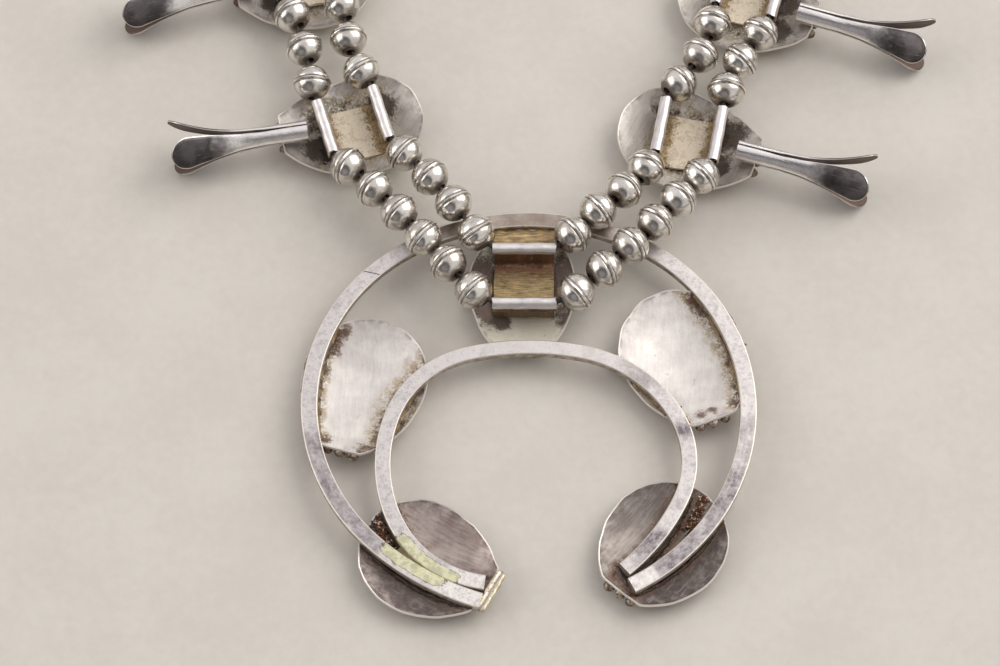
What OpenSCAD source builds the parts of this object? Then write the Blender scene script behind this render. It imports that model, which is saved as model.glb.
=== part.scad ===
// Squash blossom necklace, two strands, lying face down. The crescent pendant is at -Y and the clasp at +Y.
// The route of the strands is measured from the middle of the pendant's bail. Heights start at the surface.

/* [Crescent wires] */
// Width of the outer wire's flat back
outer_wire_w = 2.95; // [2.2:0.05:3.6]
// Width of the inner wire's flat back
inner_wire_w = 2.8; // [2.2:0.05:3.4]
// Thickness of both wires, from flat back to front ridge
wire_t = 2.4; // [1.8:0.1:3]
// Height of the upright sides of the wires
wire_side = 1.3; // [0.8:0.1:1.6]
// Bevel along the edges of the flat back
wire_bevel = 0.25; // [0.1:0.05:0.4]
// Width of the front ridge
ridge_w = 0.9; // [0.5:0.1:1.5]

/* [Shell plates] */
// Thickness of the silver sheet of the shells
shell_t = 0.7; // [0.5:0.05:1]
// Radius to which the shells are dished
dish_r = 24; // [21:0.5:32]
// Diameter of the shot along the cut end of a shell
shot_d = 2; // [1.5:0.1:2.4]
// Radius of the round end of a blossom's shell
blossom_r = 10.4; // [9.4:0.1:11]
// From the middle of that round end to the cut end
blossom_reach = 16.4; // [15:0.1:17]
// Half width of the cut end of a blossom's shell
blossom_cut = 4; // [3.4:0.1:5]

/* [Bail and bridges] */
// Length of the rolled tubes
tube_len = 11.4; // [10.5:0.1:13]
// Outer diameter of the rolled tubes
tube_d = 2.1; // [1.9:0.05:2.4]
// Bore of the rolled tubes
tube_bore = 1.5; // [1.3:0.05:1.6]
// Thickness of the bent sheet
sheet_t = 0.6; // [0.4:0.05:0.8]
// Length of the bent sheet along the strands
sheet_len = 10.7; // [9.5:0.1:11.5]
// From tube to tube on the crescent's bail
bail_span = 11; // [10.4:0.1:12]
// From tube to tube on a blossom
bridge_span = 10.6; // [10.2:0.1:12]
// Height of the bail's tubes above the surface
bail_z = 8.2; // [8:0.1:9]
// Height of the blossoms' tubes above the surface
bridge_z = 7.5; // [7.4:0.1:8]

/* [Petals] */
// Length of a petal
petal_len = 25; // [22:0.1:28]
// Thickness of a petal
petal_t = 0.6; // [0.4:0.05:0.8]
// Width of a petal's stem
petal_stem_w = 2.6; // [2.2:0.1:3]
// Width of a petal's rounded end
petal_end_w = 6; // [4:0.1:6.5]
// How far a petal bends away from the blossom's axis
petal_flare = 3.6; // [1.5:0.1:3.8]
// Outer radius of the bundle of stems
stem_r = 1.9; // [1.7:0.05:2.2]
// Length of the channel in a petal's stem
channel_len = 10; // [6:0.5:13]
// Height of the petals' axis above the surface
petal_z = 6.2; // [6:0.1:7]
// From the middle of a blossom to the ends of its stems
petal_start = 8; // [7.2:0.1:8.6]

/* [Beads] */
// Diameter of a bead
bead_d = 6.9; // [6.6:0.05:7]
// Length of a bead along the strand
bead_len = 6.4; // [5.8:0.05:6.5]
// Bore of a bead
bead_bore = 2; // [1.6:0.1:2.4]
// How far the seam stands proud of a bead
seam_proud = 0.1; // [0.05:0.05:0.15]
// Width of the seam round a bead
seam_w = 0.4; // [0.3:0.1:0.8]
// Least gap between two beads of a strand
bead_gap = 0.25; // [0.2:0.05:0.6]
// Diameter of the thread
thread_d = 0.9; // [0.6:0.05:1]

/* [Clasp] */
// Length of the clasp bar between its collars
clasp_len = 14; // [10:0.5:20]
// From strand to strand at the clasp
clasp_span = 7.4; // [7.2:0.1:9]
// Thickness of the clasp bar
clasp_t = 1.4; // [1:0.1:2]
// Width of the clasp bar at its middle
clasp_w = 4; // [3:0.5:6]
// Length of a collar of the clasp
collar_len = 4; // [3:0.5:6]
// Diameter of a collar of the clasp
collar_d = 3; // [2.6:0.1:3.6]

/* [Hidden] */

LEFT = -1;
RIGHT = 1;
INNER = 1;
OUTER = -1;

// Depth to which solder joins two pieces, and the reach of cutting shapes past what they cut
solder = 0.25;
past = 1;

// Length of the joints in the wires, and how far they stand proud
joint_len = 0.8;
joint_proud = 0.04;

// Columns of the blossom tables: x and y of the middle, direction of the strands there, turn of the shell
// from square to the strands, shift of the shell and of the petals along the strands, turn of the petals
// from square to the strands, shift of the petals outwards
B_X = 0;
B_Y = 1;
B_DIR = 2;
B_SHELL_TURN = 3;
B_SHELL_SHIFT = 4;
B_PETAL_SHIFT = 5;
B_PETAL_TURN = 6;
B_PETAL_OUT = 7;
blossoms_left = [
    [-32.1, 31.8, 107, -5, 1.2, 0, -7.5, 0.6],
    [-42.2, 65.2, 103, -2, -0.7, -1, 0, 2],
    [-47.5, 98.4, 95, 0, 0, 0, -3, 0],
    [-49.5, 131.9, 92, 0, 0, 0, -3, 0],
    [-50.7, 165.5, 94, 0, 0, 0, -3, 0]];
blossoms_right = [
    [29.7, 29.8, 79, -9, 0, -0.9, -5.4, 1.3],
    [42, 61, 74, -4, -1.5, -2, -2, 2],
    [48.1, 94, 85, 0, 0, 0, 3, 0],
    [50.2, 127.6, 88, 0, 0, 0, 3, 0],
    [50.8, 161.2, 87, 0, 0, 0, 3, 0]];

// Leaning of the strands at the mouths of the tubes, away from the inside of the loop, for each stretch up to
// the last blossom: inner strand leaving and arriving, outer strand leaving and arriving
leans_left = [[-56, 30, -45, 32], [22, 2, -1, 22],
    [14, -14, -14, 14], [14, -14, -14, 14], [14, -14, -14, 14]];
leans_right = [[-54, 17, -38, 29], [30, -13, -4, 17],
    [14, -14, -14, 14], [14, -14, -14, 14], [14, -14, -14, 14]];

// Middle of the clasp, and of the bail
clasp_y = 278;
bail_mid = [-0.75, -0.7];

// Heights at the two handles of the curve of each strand from the bail to the first blossom
inner_rise = [10.5, 7.4];
outer_rise = [10.3, 8.2];

// Columns of the shell table: x and y of the middle of the round end, its radius, from there to the cut end,
// half width of the cut end, direction of the cut end
S_X = 0;
S_Y = 1;
S_R = 2;
S_REACH = 3;
S_CUT = 4;
S_DIR = 5;
naja_shells = [
    [-1.1, 1, 9.75, 14.6, 4.8, -90],
    [27.2, -12.9, 11.3, 15.6, 4.2, -70],
    [-29, -18.5, 11.2, 15.4, 3.9, -106],
    [23.8, -49.5, 10.9, 13, 4.2, -130],
    [-19.2, -52.5, 10.6, 13.7, 4.2, -29]];

// Arcs of the wires from the top of the crescent to their ends: radius and sweep
outer_arcs_right = [[42.2, 28.1], [35.6, 51], [37.9, 50.6], [40.2, 23]];
outer_arcs_left = [[42.6, 30], [35, 53.6], [36.6, 53.2], [48.4, 26]];
inner_arcs_right = [[49.3, 10.5], [24.4, 48], [18.3, 57.9], [40, 23]];
inner_arcs_left = [[48.3, 12.4], [18.8, 58.3], [27.4, 41], [19.9, 61]];
outer_top_y = 12.4;
inner_top_y = -13.35;

// The tab soldered across the tip of the left terminal: length, width, thickness, height of its top
tab_size = [8.4, 1.9, 1.3];
tab_top = 4.6;
tab_out = 0.6;

// Height of a dished surface of radius r above its lowest point, at distance d from its middle
function rise(r, d) = r - sqrt(r * r - d * d);
// Height above the surface of the inside of a shell at distance d from its middle
function shell_floor(d) = shell_t + rise(dish_r - shell_t, d);

// The wires stand on the sides of the shells, this far from the middles of their dishes
wire_stand = 11;
wire_z = rise(dish_r, wire_stand) + shell_t / 2 - solder;

// The bent sheets stand in the shells on their corners. The bail sits a little off the middle of its shell.
bail_shift = 1;
function sheet_floor(span, shift) =
    shell_floor(norm([span / 2, sheet_len / 2 + shift])) - solder;

// Unit vector along a direction in the plane, and the offset towards the inside of the loop
function unit(a) = [cos(a), sin(a), 0];
function inward(side, a) = unit(a + 90 * side);

// Stations along a side: 0 is the bail, 1 to 5 are the blossoms, 6 is the clasp.
// A station is its middle, the direction of the strands, the span between them and the half length of its tubes
blossom_count = len(blossoms_left);
function table(side) = side == LEFT ? blossoms_left : blossoms_right;
function station(side, k) =
    k == 0 ? [[bail_mid[0], bail_mid[1], bail_z], side == LEFT ? 180 : 0, bail_span, tube_len / 2]
    : k > blossom_count ? [[0, clasp_y, clasp_z], side == LEFT ? 0 : 180, clasp_span,
        clasp_len / 2 + collar_len]
    : let (b = table(side)[k - 1])
        [[b[B_X], b[B_Y], bridge_z], b[B_DIR], bridge_span, tube_len / 2];

// The beads of the plain run behind the neck lie on the surface
clasp_z = bead_d / 2 + seam_proud;

// Mouth of a tube: end is 1 where the strand leaves the station towards the clasp, -1 where it arrives. The
// strands bend most at the bail, so the beads start a little farther out there.
mouth_lead = 0.5;
bail_lead = 1;
function mouth(side, strand, k, end) = let (s = station(side, k))
    s[0] + unit(s[1]) * end * (s[3] + (k == 0 ? bail_lead : mouth_lead))
        + inward(side, s[1]) * strand * s[2] / 2;

// Four control points of the curve of a strand from station k to the next. In the plain run, from the last
// blossom to the clasp, they are those of the line midway between the strands. Between blossoms the strands sag
// a little.
function leans(side) = side == LEFT ? leans_left : leans_right;
handle_share = 0.36;
plain_shares = [0.58, 0.32];
sag = 0.3;
function handle_z(strand, k, i) =
    k == 0 ? (strand == INNER ? inner_rise : outer_rise)[i]
    : k == blossom_count ? [(bridge_z + 2 * clasp_z) / 3, clasp_z][i]
    : bridge_z - sag;
function stretch(side, strand, k) = let (
        plain = k == blossom_count, line = plain ? 0 : strand,
        a = mouth(side, line, k, 1), b = mouth(side, line, k + 1, -1), h = norm(b - a),
        lean = plain ? [0, 0, 0, 0] : leans(side)[k], column = strand == INNER ? 0 : 2,
        leave = station(side, k)[1] - side * lean[column],
        arrive = station(side, k + 1)[1] - side * lean[column + 1],
        p = a + unit(leave) * h * (plain ? plain_shares[0] : handle_share),
        q = b - unit(arrive) * h * (plain ? plain_shares[1] : handle_share))
    [a, [p[0], p[1], handle_z(strand, k, 0)], [q[0], q[1], handle_z(strand, k, 1)], b];

// Point and heading of a cubic curve
function on_curve(c, t) =
    pow(1 - t, 3) * c[0] + 3 * t * pow(1 - t, 2) * c[1] + 3 * t * t * (1 - t) * c[2] + pow(t, 3) * c[3];
function heading(c, t) =
    pow(1 - t, 2) * (c[1] - c[0]) + 2 * t * (1 - t) * (c[2] - c[1]) + t * t * (c[3] - c[2]);

// Point of a strand on its curve. In the plain run the two strands soon close up to the clasp's span.
closing = 10;
function place(side, strand, k, c, t) = k < blossom_count ? on_curve(c, t) : let (
        d = heading(c, t), span = clasp_span + (bridge_span - clasp_span) * pow(1 - t, closing))
    on_curve(c, t) + side * strand * span / 2 * [-d[1], d[0], 0] / norm([d[0], d[1]]);

// Running length of a strand against the parameter of its curve, for looking up where a bead sits
steps = 60;
function running(side, strand, k, c, i = 0, so_far = 0) = i > steps ? []
    : let (here = place(side, strand, k, c, i / steps), last = place(side, strand, k, c, max(i - 1, 0) / steps),
        now = so_far + norm(here - last))
    concat([[now, i / steps]], running(side, strand, k, c, i + 1, now));

// A bead of two soldered domes, drilled along Z: a round profile set off from the axis, and the seam round it
module bead() {
    dome_r = bead_len / 2;
    rotate_extrude($fn = 48) intersection() {
        union() {
            translate([bead_d / 2 - dome_r, 0]) circle(r = dome_r, $fn = 48);
            translate([0, -seam_w / 2]) square([bead_d / 2 + seam_proud, seam_w]);
        }
        translate([bead_bore / 2, -bead_len]) square([bead_d, 2 * bead_len]);
    }
}

// All beads of one strand on one side, spread evenly over each stretch between two tubes
module beads(side, strand) {
    color([0.72, 0.69, 0.64])
    for (k = [0 : blossom_count]) {
        c = stretch(side, strand, k);
        lengths = running(side, strand, k, c);
        whole = lengths[steps][0];
        count = floor(whole / (bead_len + bead_gap));
        for (i = [0 : count - 1]) {
            s = whole * (i + 0.5) / count;
            ends = [for (e = [-1, 1]) place(side, strand, k, c, lookup(s + e * bead_len / 4, lengths))];
            t = (ends[1] - ends[0]) / norm(ends[1] - ends[0]);
            translate(place(side, strand, k, c, lookup(s, lengths)))
                rotate([0, acos(t[2]), atan2(t[1], t[0])]) bead();
        }
    }
}

// Points of a strand on one side, from the bail to the clasp
thread_steps = [9, 5, 5, 5, 5, 24];
function half_route(side, strand) = [
    for (k = [0 : blossom_count]) let (c = stretch(side, strand, k))
        for (i = [0 : thread_steps[k]]) place(side, strand, k, c, i / thread_steps[k])];
function backwards(list) = [for (i = [len(list) - 1 : -1 : 0]) list[i]];

// The thread runs from collar to collar, and its ends sit inside the collars
thread_in = 2.5;
function route(strand) = let (
        l = half_route(LEFT, strand), r = half_route(RIGHT, strand),
        into = [thread_in + mouth_lead, 0, 0])
    concat([l[len(l) - 1] + into], backwards(l), r, [r[len(r) - 1] - into]);

// A round thread swept along points that never climb upright
thread_sides = 6;
module thread_along(points, d) {
    n = len(points);
    rings = [for (i = [0 : n - 1])
        let (t = points[min(i + 1, n - 1)] - points[max(i - 1, 0)],
            level = cross(t, [0, 0, 1]) / norm(cross(t, [0, 0, 1])),
            up = cross(level, t) / norm(cross(level, t)))
        for (j = [0 : thread_sides - 1]) let (a = 360 * j / thread_sides)
            points[i] + d / 2 * (cos(a) * level + sin(a) * up)];
    m = thread_sides;
    walls = [for (i = [0 : n - 2]) for (j = [0 : m - 1]) let (a = i * m + j, b = i * m + (j + 1) % m)
        each [[a, b, b + m], [a, b + m, a + m]]];
    polyhedron(rings, concat(walls, [[for (j = [m - 1 : -1 : 0]) j], [for (j = [0 : m - 1]) (n - 1) * m + j]]));
}

module thread(strand) {
    color([0.86, 0.82, 0.72]) thread_along(route(strand), thread_d);
}

// Flat-backed wire in section, with its back up and its ridge down
module wire_section(w, grow = 0) {
    side = w / 2 + grow;
    ridge = ridge_w / 2 + grow;
    back = wire_t + grow;
    shoulder = wire_t - wire_side - grow;
    polygon([[-side + wire_bevel, back], [-side, back - wire_bevel], [-side, shoulder], [-ridge, -grow],
        [ridge, -grow], [side, shoulder], [side, back - wire_bevel], [side - wire_bevel, back]]);
}

// A short stretch of wire along X, a hair thicker than the rest, where two arcs are brazed end to end
module wire_joint(w) {
    rotate([90, 0, 90]) linear_extrude(joint_len, center = true) wire_section(w, joint_proud);
}

// Arcs laid end to end from the origin, heading along +X and turning right
module wire_run(arcs, w, i = 0) {
    if (i < len(arcs)) {
        r = arcs[i][0];
        a = arcs[i][1];
        translate([0, -r, 0]) {
            rotate([0, 0, 90 - a]) rotate_extrude(angle = a, $fn = 180) translate([r, 0]) wire_section(w);
            rotate([0, 0, -a]) translate([0, r, 0]) {
                if (i < len(arcs) - 1) wire_joint(w);
                wire_run(arcs, w, i + 1);
            }
        }
    }
}

// A whole wire of the crescent, with the middle of its top at the origin
module wire(arcs_left, arcs_right, w) {
    wire_joint(w);
    wire_run(arcs_right, w);
    mirror([1, 0, 0]) wire_run(arcs_left, w);
}

// Radius of the two arcs in which a shell narrows from its round end to its cut end
function side_radius(r, reach, cut_w) = (reach * reach + pow(r - cut_w, 2)) / (2 * (r - cut_w));

// Outline of a shell with the middle of its round end at the origin
module shell_outline(r, reach, cut_w) {
    side_r = side_radius(r, reach, cut_w);
    circle(r = r, $fn = 120);
    intersection() {
        translate([0, -r]) square([reach, 2 * r]);
        translate([0, r - side_r]) circle(r = side_r, $fn = 160);
        translate([0, side_r - r]) circle(r = side_r, $fn = 160);
    }
}

// Half of the length of a shell, and from the middle of its round end to the middle of that length
function shell_half(r, reach) = (r + reach) / 2;
function shell_mid(r, reach) = (reach - r) / 2;

// Shot under a cut end, in shares of its diameter: from one to the next, in from the edge, and down from it
shot_pitch = 1.15;
shot_in = 0.1;
shot_down = 0.3;

// A dished shell with its hollow side up and its lowest point at the origin, and three shot under its cut end
module shell_plate(r, reach, cut_w) {
    half = shell_half(r, reach);
    intersection() {
        translate([0, 0, dish_r]) difference() {
            sphere(r = dish_r, $fn = 120);
            sphere(r = dish_r - shell_t, $fn = 120);
        }
        translate([-shell_mid(r, reach), 0]) linear_extrude(dish_r / 2) shell_outline(r, reach, cut_w);
    }
    for (i = [-1 : 1])
        translate([half - shot_in * shot_d, i * shot_pitch * shot_d, rise(dish_r, half) - shot_down * shot_d])
            sphere(d = shot_d, $fn = 24);
}

// A bent sheet with both ends rolled into tubes along Y, on its floor at height low, the tubes at height high
module bridge(span, low, high) {
    rotate([90, 0, 0]) linear_extrude(sheet_len, center = true) {
        translate([-(span + sheet_t) / 2, low]) square([span + sheet_t, sheet_t]);
        for (s = [-1, 1]) translate([s * span / 2 - sheet_t / 2, low])
            square([sheet_t, high - low - tube_bore / 2 - (tube_d - tube_bore) / 4]);
    }
    for (s = [-1, 1]) translate([s * span / 2, 0, high]) rotate([90, 0, 0]) difference() {
        cylinder(h = tube_len, d = tube_d, center = true, $fn = 32);
        cylinder(h = tube_len + past, d = tube_bore, center = true, $fn = 32);
    }
}

// One petal along +X with its outer face up: a channelled stem, then a strip that widens and bends up
module petal() {
    bend_len = petal_len - channel_len;
    bend_r = bend_len * bend_len / (2 * petal_flare);
    end_x = bend_len - petal_end_w / 2;
    translate([channel_len, 0, 0]) intersection() {
        translate([0, 0, stem_r + bend_r]) rotate([90, 0, 0]) difference() {
            cylinder(h = 2 * petal_end_w, r = bend_r + petal_t, center = true, $fn = 180);
            cylinder(h = 2 * petal_end_w + past, r = bend_r, center = true, $fn = 180);
        }
        linear_extrude(2 * petal_end_w) {
            polygon([[-past, -petal_stem_w / 2], [0, -petal_stem_w / 2], [end_x, -petal_end_w / 2],
                [end_x, petal_end_w / 2], [0, petal_stem_w / 2], [-past, petal_stem_w / 2]]);
            translate([end_x, 0]) circle(d = petal_end_w, $fn = 48);
        }
    }
    rotate([0, 90, 0]) rotate([0, 0, 180 - channel_sweep / 2])
        rotate_extrude(angle = channel_sweep, $fn = 36)
            translate([stem_r - petal_t, 0]) square([petal_t, channel_len]);
}
channel_sweep = 104;

// Three petals round one axis, the widest seen towards the bottom of the necklace, soldered inside their stems
petal_rolls = [45, -70, 170];
plug_back = 1.5;
plug_len = 4;
module petals(side) {
    for (roll = petal_rolls) rotate([roll * side, 0, 0]) petal();
    translate([plug_back, 0, 0]) rotate([0, 90, 0])
        cylinder(h = plug_len, r = stem_r - petal_t / 2, $fn = 36);
}

// A blossom with its petals along +X and its strands along Y
module blossom(side, k) {
    b = table(side)[k - 1];
    s = station(side, k);
    color([0.78, 0.75, 0.71]) translate([b[B_X], b[B_Y], 0]) rotate([0, 0, b[B_DIR] - 90 * side]) {
        translate([0, side * b[B_SHELL_SHIFT], 0]) rotate([0, 0, b[B_SHELL_TURN]])
            shell_plate(blossom_r, blossom_reach, blossom_cut);
        bridge(bridge_span, sheet_floor(bridge_span, 0), bridge_z);
        translate([0, side * b[B_PETAL_SHIFT], petal_z]) rotate([0, 0, b[B_PETAL_TURN]])
            translate([petal_start + b[B_PETAL_OUT], 0, 0]) petals(side);
    }
}

// The crescent pendant: two wires each side, five shells, the bail and the tab, all soldered
module naja() {
    color([0.76, 0.73, 0.72]) {
        translate([0, outer_top_y, wire_z]) wire(outer_arcs_left, outer_arcs_right, outer_wire_w);
        translate([0, inner_top_y, wire_z]) wire(inner_arcs_left, inner_arcs_right, inner_wire_w);
        for (p = naja_shells) translate([p[S_X], p[S_Y], 0]) rotate([0, 0, p[S_DIR]])
            translate([shell_mid(p[S_R], p[S_REACH]), 0, 0]) shell_plate(p[S_R], p[S_REACH], p[S_CUT]);
        translate(bail_mid) rotate([0, 0, 90])
            bridge(bail_span, sheet_floor(bail_span, bail_shift), bail_z);
        translate([tab_row[S_X], tab_row[S_Y], tab_top - tab_size[2] / 2]) rotate([0, 0, tab_row[S_DIR]])
            translate([tab_row[S_REACH] + tab_out, 0, 0])
                cube([tab_size[1], tab_size[0], tab_size[2]], center = true);
    }
}

// The clasp: a flat bar with a cross bar and two drilled collars at each end
module clasp() {
    color([0.74, 0.72, 0.69]) translate([0, clasp_y, clasp_z]) {
        cube([clasp_len, clasp_w, clasp_t], center = true);
        for (side = [LEFT, RIGHT]) {
            translate([side * (clasp_len - clasp_w) / 2, 0, 0])
                cube([clasp_w, clasp_span + collar_d, clasp_t], center = true);
            for (strand = [INNER, OUTER])
                translate([side * clasp_len / 2, strand * clasp_span / 2, 0]) rotate([0, 90 * side, 0])
                    difference() {
                        translate([0, 0, -past]) cylinder(h = collar_len + past, d = collar_d, $fn = 32);
                        translate([0, 0, -past / 2]) cylinder(h = collar_len + past, d = tube_bore, $fn = 32);
                    }
        }
    }
}

// Everything is centred on the box that it fills: from the left terminal's shell to the clasp, and from petal
// to petal
function tip_x(b, side) =
    b[B_X] + (petal_start + b[B_PETAL_OUT] + petal_len) * cos(b[B_DIR] - 90 * side + b[B_PETAL_TURN]);
leftmost = min([for (b = blossoms_left) tip_x(b, LEFT)]);
rightmost = max([for (b = blossoms_right) tip_x(b, RIGHT)]);
tab_row = naja_shells[4];
tab_side_r = side_radius(tab_row[S_R], tab_row[S_REACH], tab_row[S_CUT]);
lowest = tab_row[S_Y] + (tab_side_r - tab_row[S_R]) * cos(tab_row[S_DIR]) - tab_side_r;
highest = clasp_y + (clasp_span + bead_d) / 2 + seam_proud;
centre = [-(leftmost + rightmost) / 2, -(lowest + highest) / 2, 0];

translate(centre) naja();
translate(centre) blossom(LEFT, 1);  // blossom_left_1
translate(centre) blossom(LEFT, 2);  // blossom_left_2
translate(centre) blossom(LEFT, 3);  // blossom_left_3
translate(centre) blossom(LEFT, 4);  // blossom_left_4
translate(centre) blossom(LEFT, 5);  // blossom_left_5
translate(centre) blossom(RIGHT, 1);  // blossom_right_1
translate(centre) blossom(RIGHT, 2);  // blossom_right_2
translate(centre) blossom(RIGHT, 3);  // blossom_right_3
translate(centre) blossom(RIGHT, 4);  // blossom_right_4
translate(centre) blossom(RIGHT, 5);  // blossom_right_5
translate(centre) beads(LEFT, INNER);  // inner_beads_left
translate(centre) beads(RIGHT, INNER);  // inner_beads_right
translate(centre) beads(LEFT, OUTER);  // outer_beads_left
translate(centre) beads(RIGHT, OUTER);  // outer_beads_right
translate(centre) thread(INNER);  // inner_thread
translate(centre) thread(OUTER);  // outer_thread
translate(centre) clasp();
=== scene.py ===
# A squash blossom necklace of two strands, lying face down on a pale surface. Lengths are in mm.
import math
import bmesh
import bpy
import numpy as np
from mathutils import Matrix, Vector


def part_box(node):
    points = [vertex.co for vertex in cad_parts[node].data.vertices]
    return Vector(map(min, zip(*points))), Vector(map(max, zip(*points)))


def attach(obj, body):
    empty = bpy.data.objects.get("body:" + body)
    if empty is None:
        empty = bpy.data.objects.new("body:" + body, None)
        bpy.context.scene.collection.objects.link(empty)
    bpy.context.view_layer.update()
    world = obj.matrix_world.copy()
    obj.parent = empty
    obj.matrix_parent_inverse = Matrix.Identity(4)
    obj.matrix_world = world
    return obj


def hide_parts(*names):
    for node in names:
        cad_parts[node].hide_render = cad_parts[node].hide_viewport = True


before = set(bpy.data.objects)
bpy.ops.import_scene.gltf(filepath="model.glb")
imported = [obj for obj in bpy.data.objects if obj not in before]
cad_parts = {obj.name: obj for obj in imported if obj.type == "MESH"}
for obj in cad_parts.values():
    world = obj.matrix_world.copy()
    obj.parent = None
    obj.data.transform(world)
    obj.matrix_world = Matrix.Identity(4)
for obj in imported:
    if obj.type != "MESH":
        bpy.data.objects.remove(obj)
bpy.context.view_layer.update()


# The crescent's two wires are half-round silver, forged and laid ridge down, so that their flat backs show.
# The filing along their edges left two narrow bright bevels. Both are swept along arcs laid end to end, and
# every place on the crescent is measured from the middle of its bail.
MM = 0.001
outer_wire_w = 2.95
inner_wire_w = 2.8
wire_t = 2.4
wire_side = 1.3
wire_bevel = 0.2
ridge_w = 0.9
outer_top_y = 12.4
inner_top_y = -13.35
outer_arcs = {1: [(42.2, 28.1), (35.6, 51), (37.9, 50.6), (40.2, 23)],
              -1: [(42.6, 30), (35, 53.6), (36.6, 53.2), (48.4, 26)]}
inner_arcs = {1: [(49.3, 10.5), (24.4, 48), (18.3, 57.9), (40, 23)],
              -1: [(48.3, 12.4), (18.8, 58.3), (27.4, 41), (19.9, 61)]}
wire_stand = 11
dish_r = 24
shell_t = 0.7
solder = 0.25
wire_z = dish_r - math.sqrt(dish_r ** 2 - wire_stand ** 2) + shell_t / 2 - solder
wire_dents = 0.05
wire_wave = 260.0
scratch_at = -31

clasp_low, clasp_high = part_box("clasp")
bail_x = (clasp_low.x + clasp_high.x) / 2 / MM
bail_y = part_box("naja")[1].y / MM - outer_top_y - outer_wire_w / 2


class Socket:
    """An output in a node tree. Sums with it add Math nodes, and node() adds any other node there."""

    def __init__(self, tree, source=None):
        self.tree = tree
        self.source = source

    def node(self, kind, inputs=(), output=0, **settings):
        """Adds a node: its settings come first, then the values or links of its sockets."""
        made = self.tree.nodes.new(kind)
        for name, value in settings.items():
            setattr(made, name, value)
        for key, value in dict(inputs).items():
            if isinstance(value, Socket):
                self.tree.links.new(value.source, made.inputs[key])
            else:
                made.inputs[key].default_value = value
        return Socket(self.tree, made.outputs[output] if made.outputs else None)

    def math(self, operation, *values):
        return self.node("ShaderNodeMath", enumerate(values), operation=operation)

    def __add__(self, other):
        return self.math("ADD", self, other)

    def __sub__(self, other):
        return self.math("SUBTRACT", self, other)

    def __rsub__(self, other):
        return self.math("SUBTRACT", other, self)

    def __mul__(self, other):
        return self.math("MULTIPLY", self, other)

    def __truediv__(self, other):
        return self.math("DIVIDE", self, other)

    def __rtruediv__(self, other):
        return self.math("DIVIDE", other, self)

    def __rpow__(self, other):
        return self.math("POWER", other, self)

    def __abs__(self):
        return self.math("ABSOLUTE", self)

    __radd__ = __add__
    __rmul__ = __mul__

    def vector(self, operation, other, output=0):
        return self.node("ShaderNodeVectorMath", {0: self, 1: other}, output, operation=operation)

    def scaled(self, size):
        """This vector times a number."""
        return self.node("ShaderNodeVectorMath", {0: self, "Scale": size}, operation="SCALE")

    def combine(self, x, y, z):
        """A vector of three numbers."""
        return self.node("ShaderNodeCombineXYZ", {0: x, 1: y, 2: z})

    def part(self, axis):
        """One number of this vector: 0, 1 or 2 for x, y or z."""
        return self.node("ShaderNodeSeparateXYZ", {0: self}, axis)

    def random(self, low, high, seed):
        """A number drawn for each point, or a vector where low and high are vectors."""
        if isinstance(low, tuple):
            return self.node("FunctionNodeRandomValue", {0: low, 1: high, "Seed": seed}, 0,
                             data_type="FLOAT_VECTOR")
        return self.node("FunctionNodeRandomValue", {2: low, 3: high, "Seed": seed}, 1, data_type="FLOAT")

    def clear(self):
        return self.node("ShaderNodeClamp", {0: self})

    def rise(self, low, high, to_low=0, to_high=1):
        """Goes smoothly from to_low to to_high as this goes from low to high."""
        return self.node("ShaderNodeMapRange", {0: self, 1: low, 2: high, 3: to_low, 4: to_high},
                         interpolation_type="SMOOTHSTEP")

    def tint(self, under, over):
        """A colour that goes from under to over as this goes from 0 to 1."""
        under, over = (c if isinstance(c, Socket) else (*c, 1) for c in (under, over))
        return self.node("ShaderNodeMix", {0: self, 6: under, 7: over}, 2, data_type="RGBA")

    def stretch(self, x, y, z, turn=0):
        """This place, turned about Z by turn degrees and then stretched."""
        turned = self.node("ShaderNodeMapping", {0: self, 2: (0, 0, math.radians(turn))})
        return turned.node("ShaderNodeMapping", {0: turned, 3: (x, y, z)})

    def grain(self, scale, detail=3, rough=0.55, output=0):
        """Noise from 0 to 1 with scale spots to the mm."""
        return self.node("ShaderNodeTexNoise", {"Vector": self, "Scale": scale, "Detail": detail,
                                                "Roughness": rough}, output)

    def mark(self, name):
        """A number that the piece's mesh carries at each point."""
        return self.node("ShaderNodeAttribute", output="Fac", attribute_name=name)


def blank(kind, name, coordinates):
    """A new material or world without nodes, and the coordinates that its own nodes start from."""
    made = kind.new(name)
    made.use_nodes = True
    made.node_tree.nodes.clear()
    return made, Socket(made.node_tree).node("ShaderNodeTexCoord", output=coordinates)


def metal(name):
    """The place on a new finish's object in mm, and a function that closes the finish as silver."""
    material, metres = blank(bpy.data.materials, name, "Object")
    place = metres.scaled(1 / MM)

    def close(colour, metallic, roughness, height):
        """Height is in mm."""
        bump = place.node("ShaderNodeBump", {"Strength": 1.0, "Distance": MM, "Height": height})
        surface = place.node("ShaderNodeBsdfPrincipled", {
            "Base Color": colour, "Metallic": metallic, "Roughness": roughness, "Normal": bump})
        place.node("ShaderNodeOutputMaterial", {"Surface": surface})
        return material
    return place, close


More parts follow.
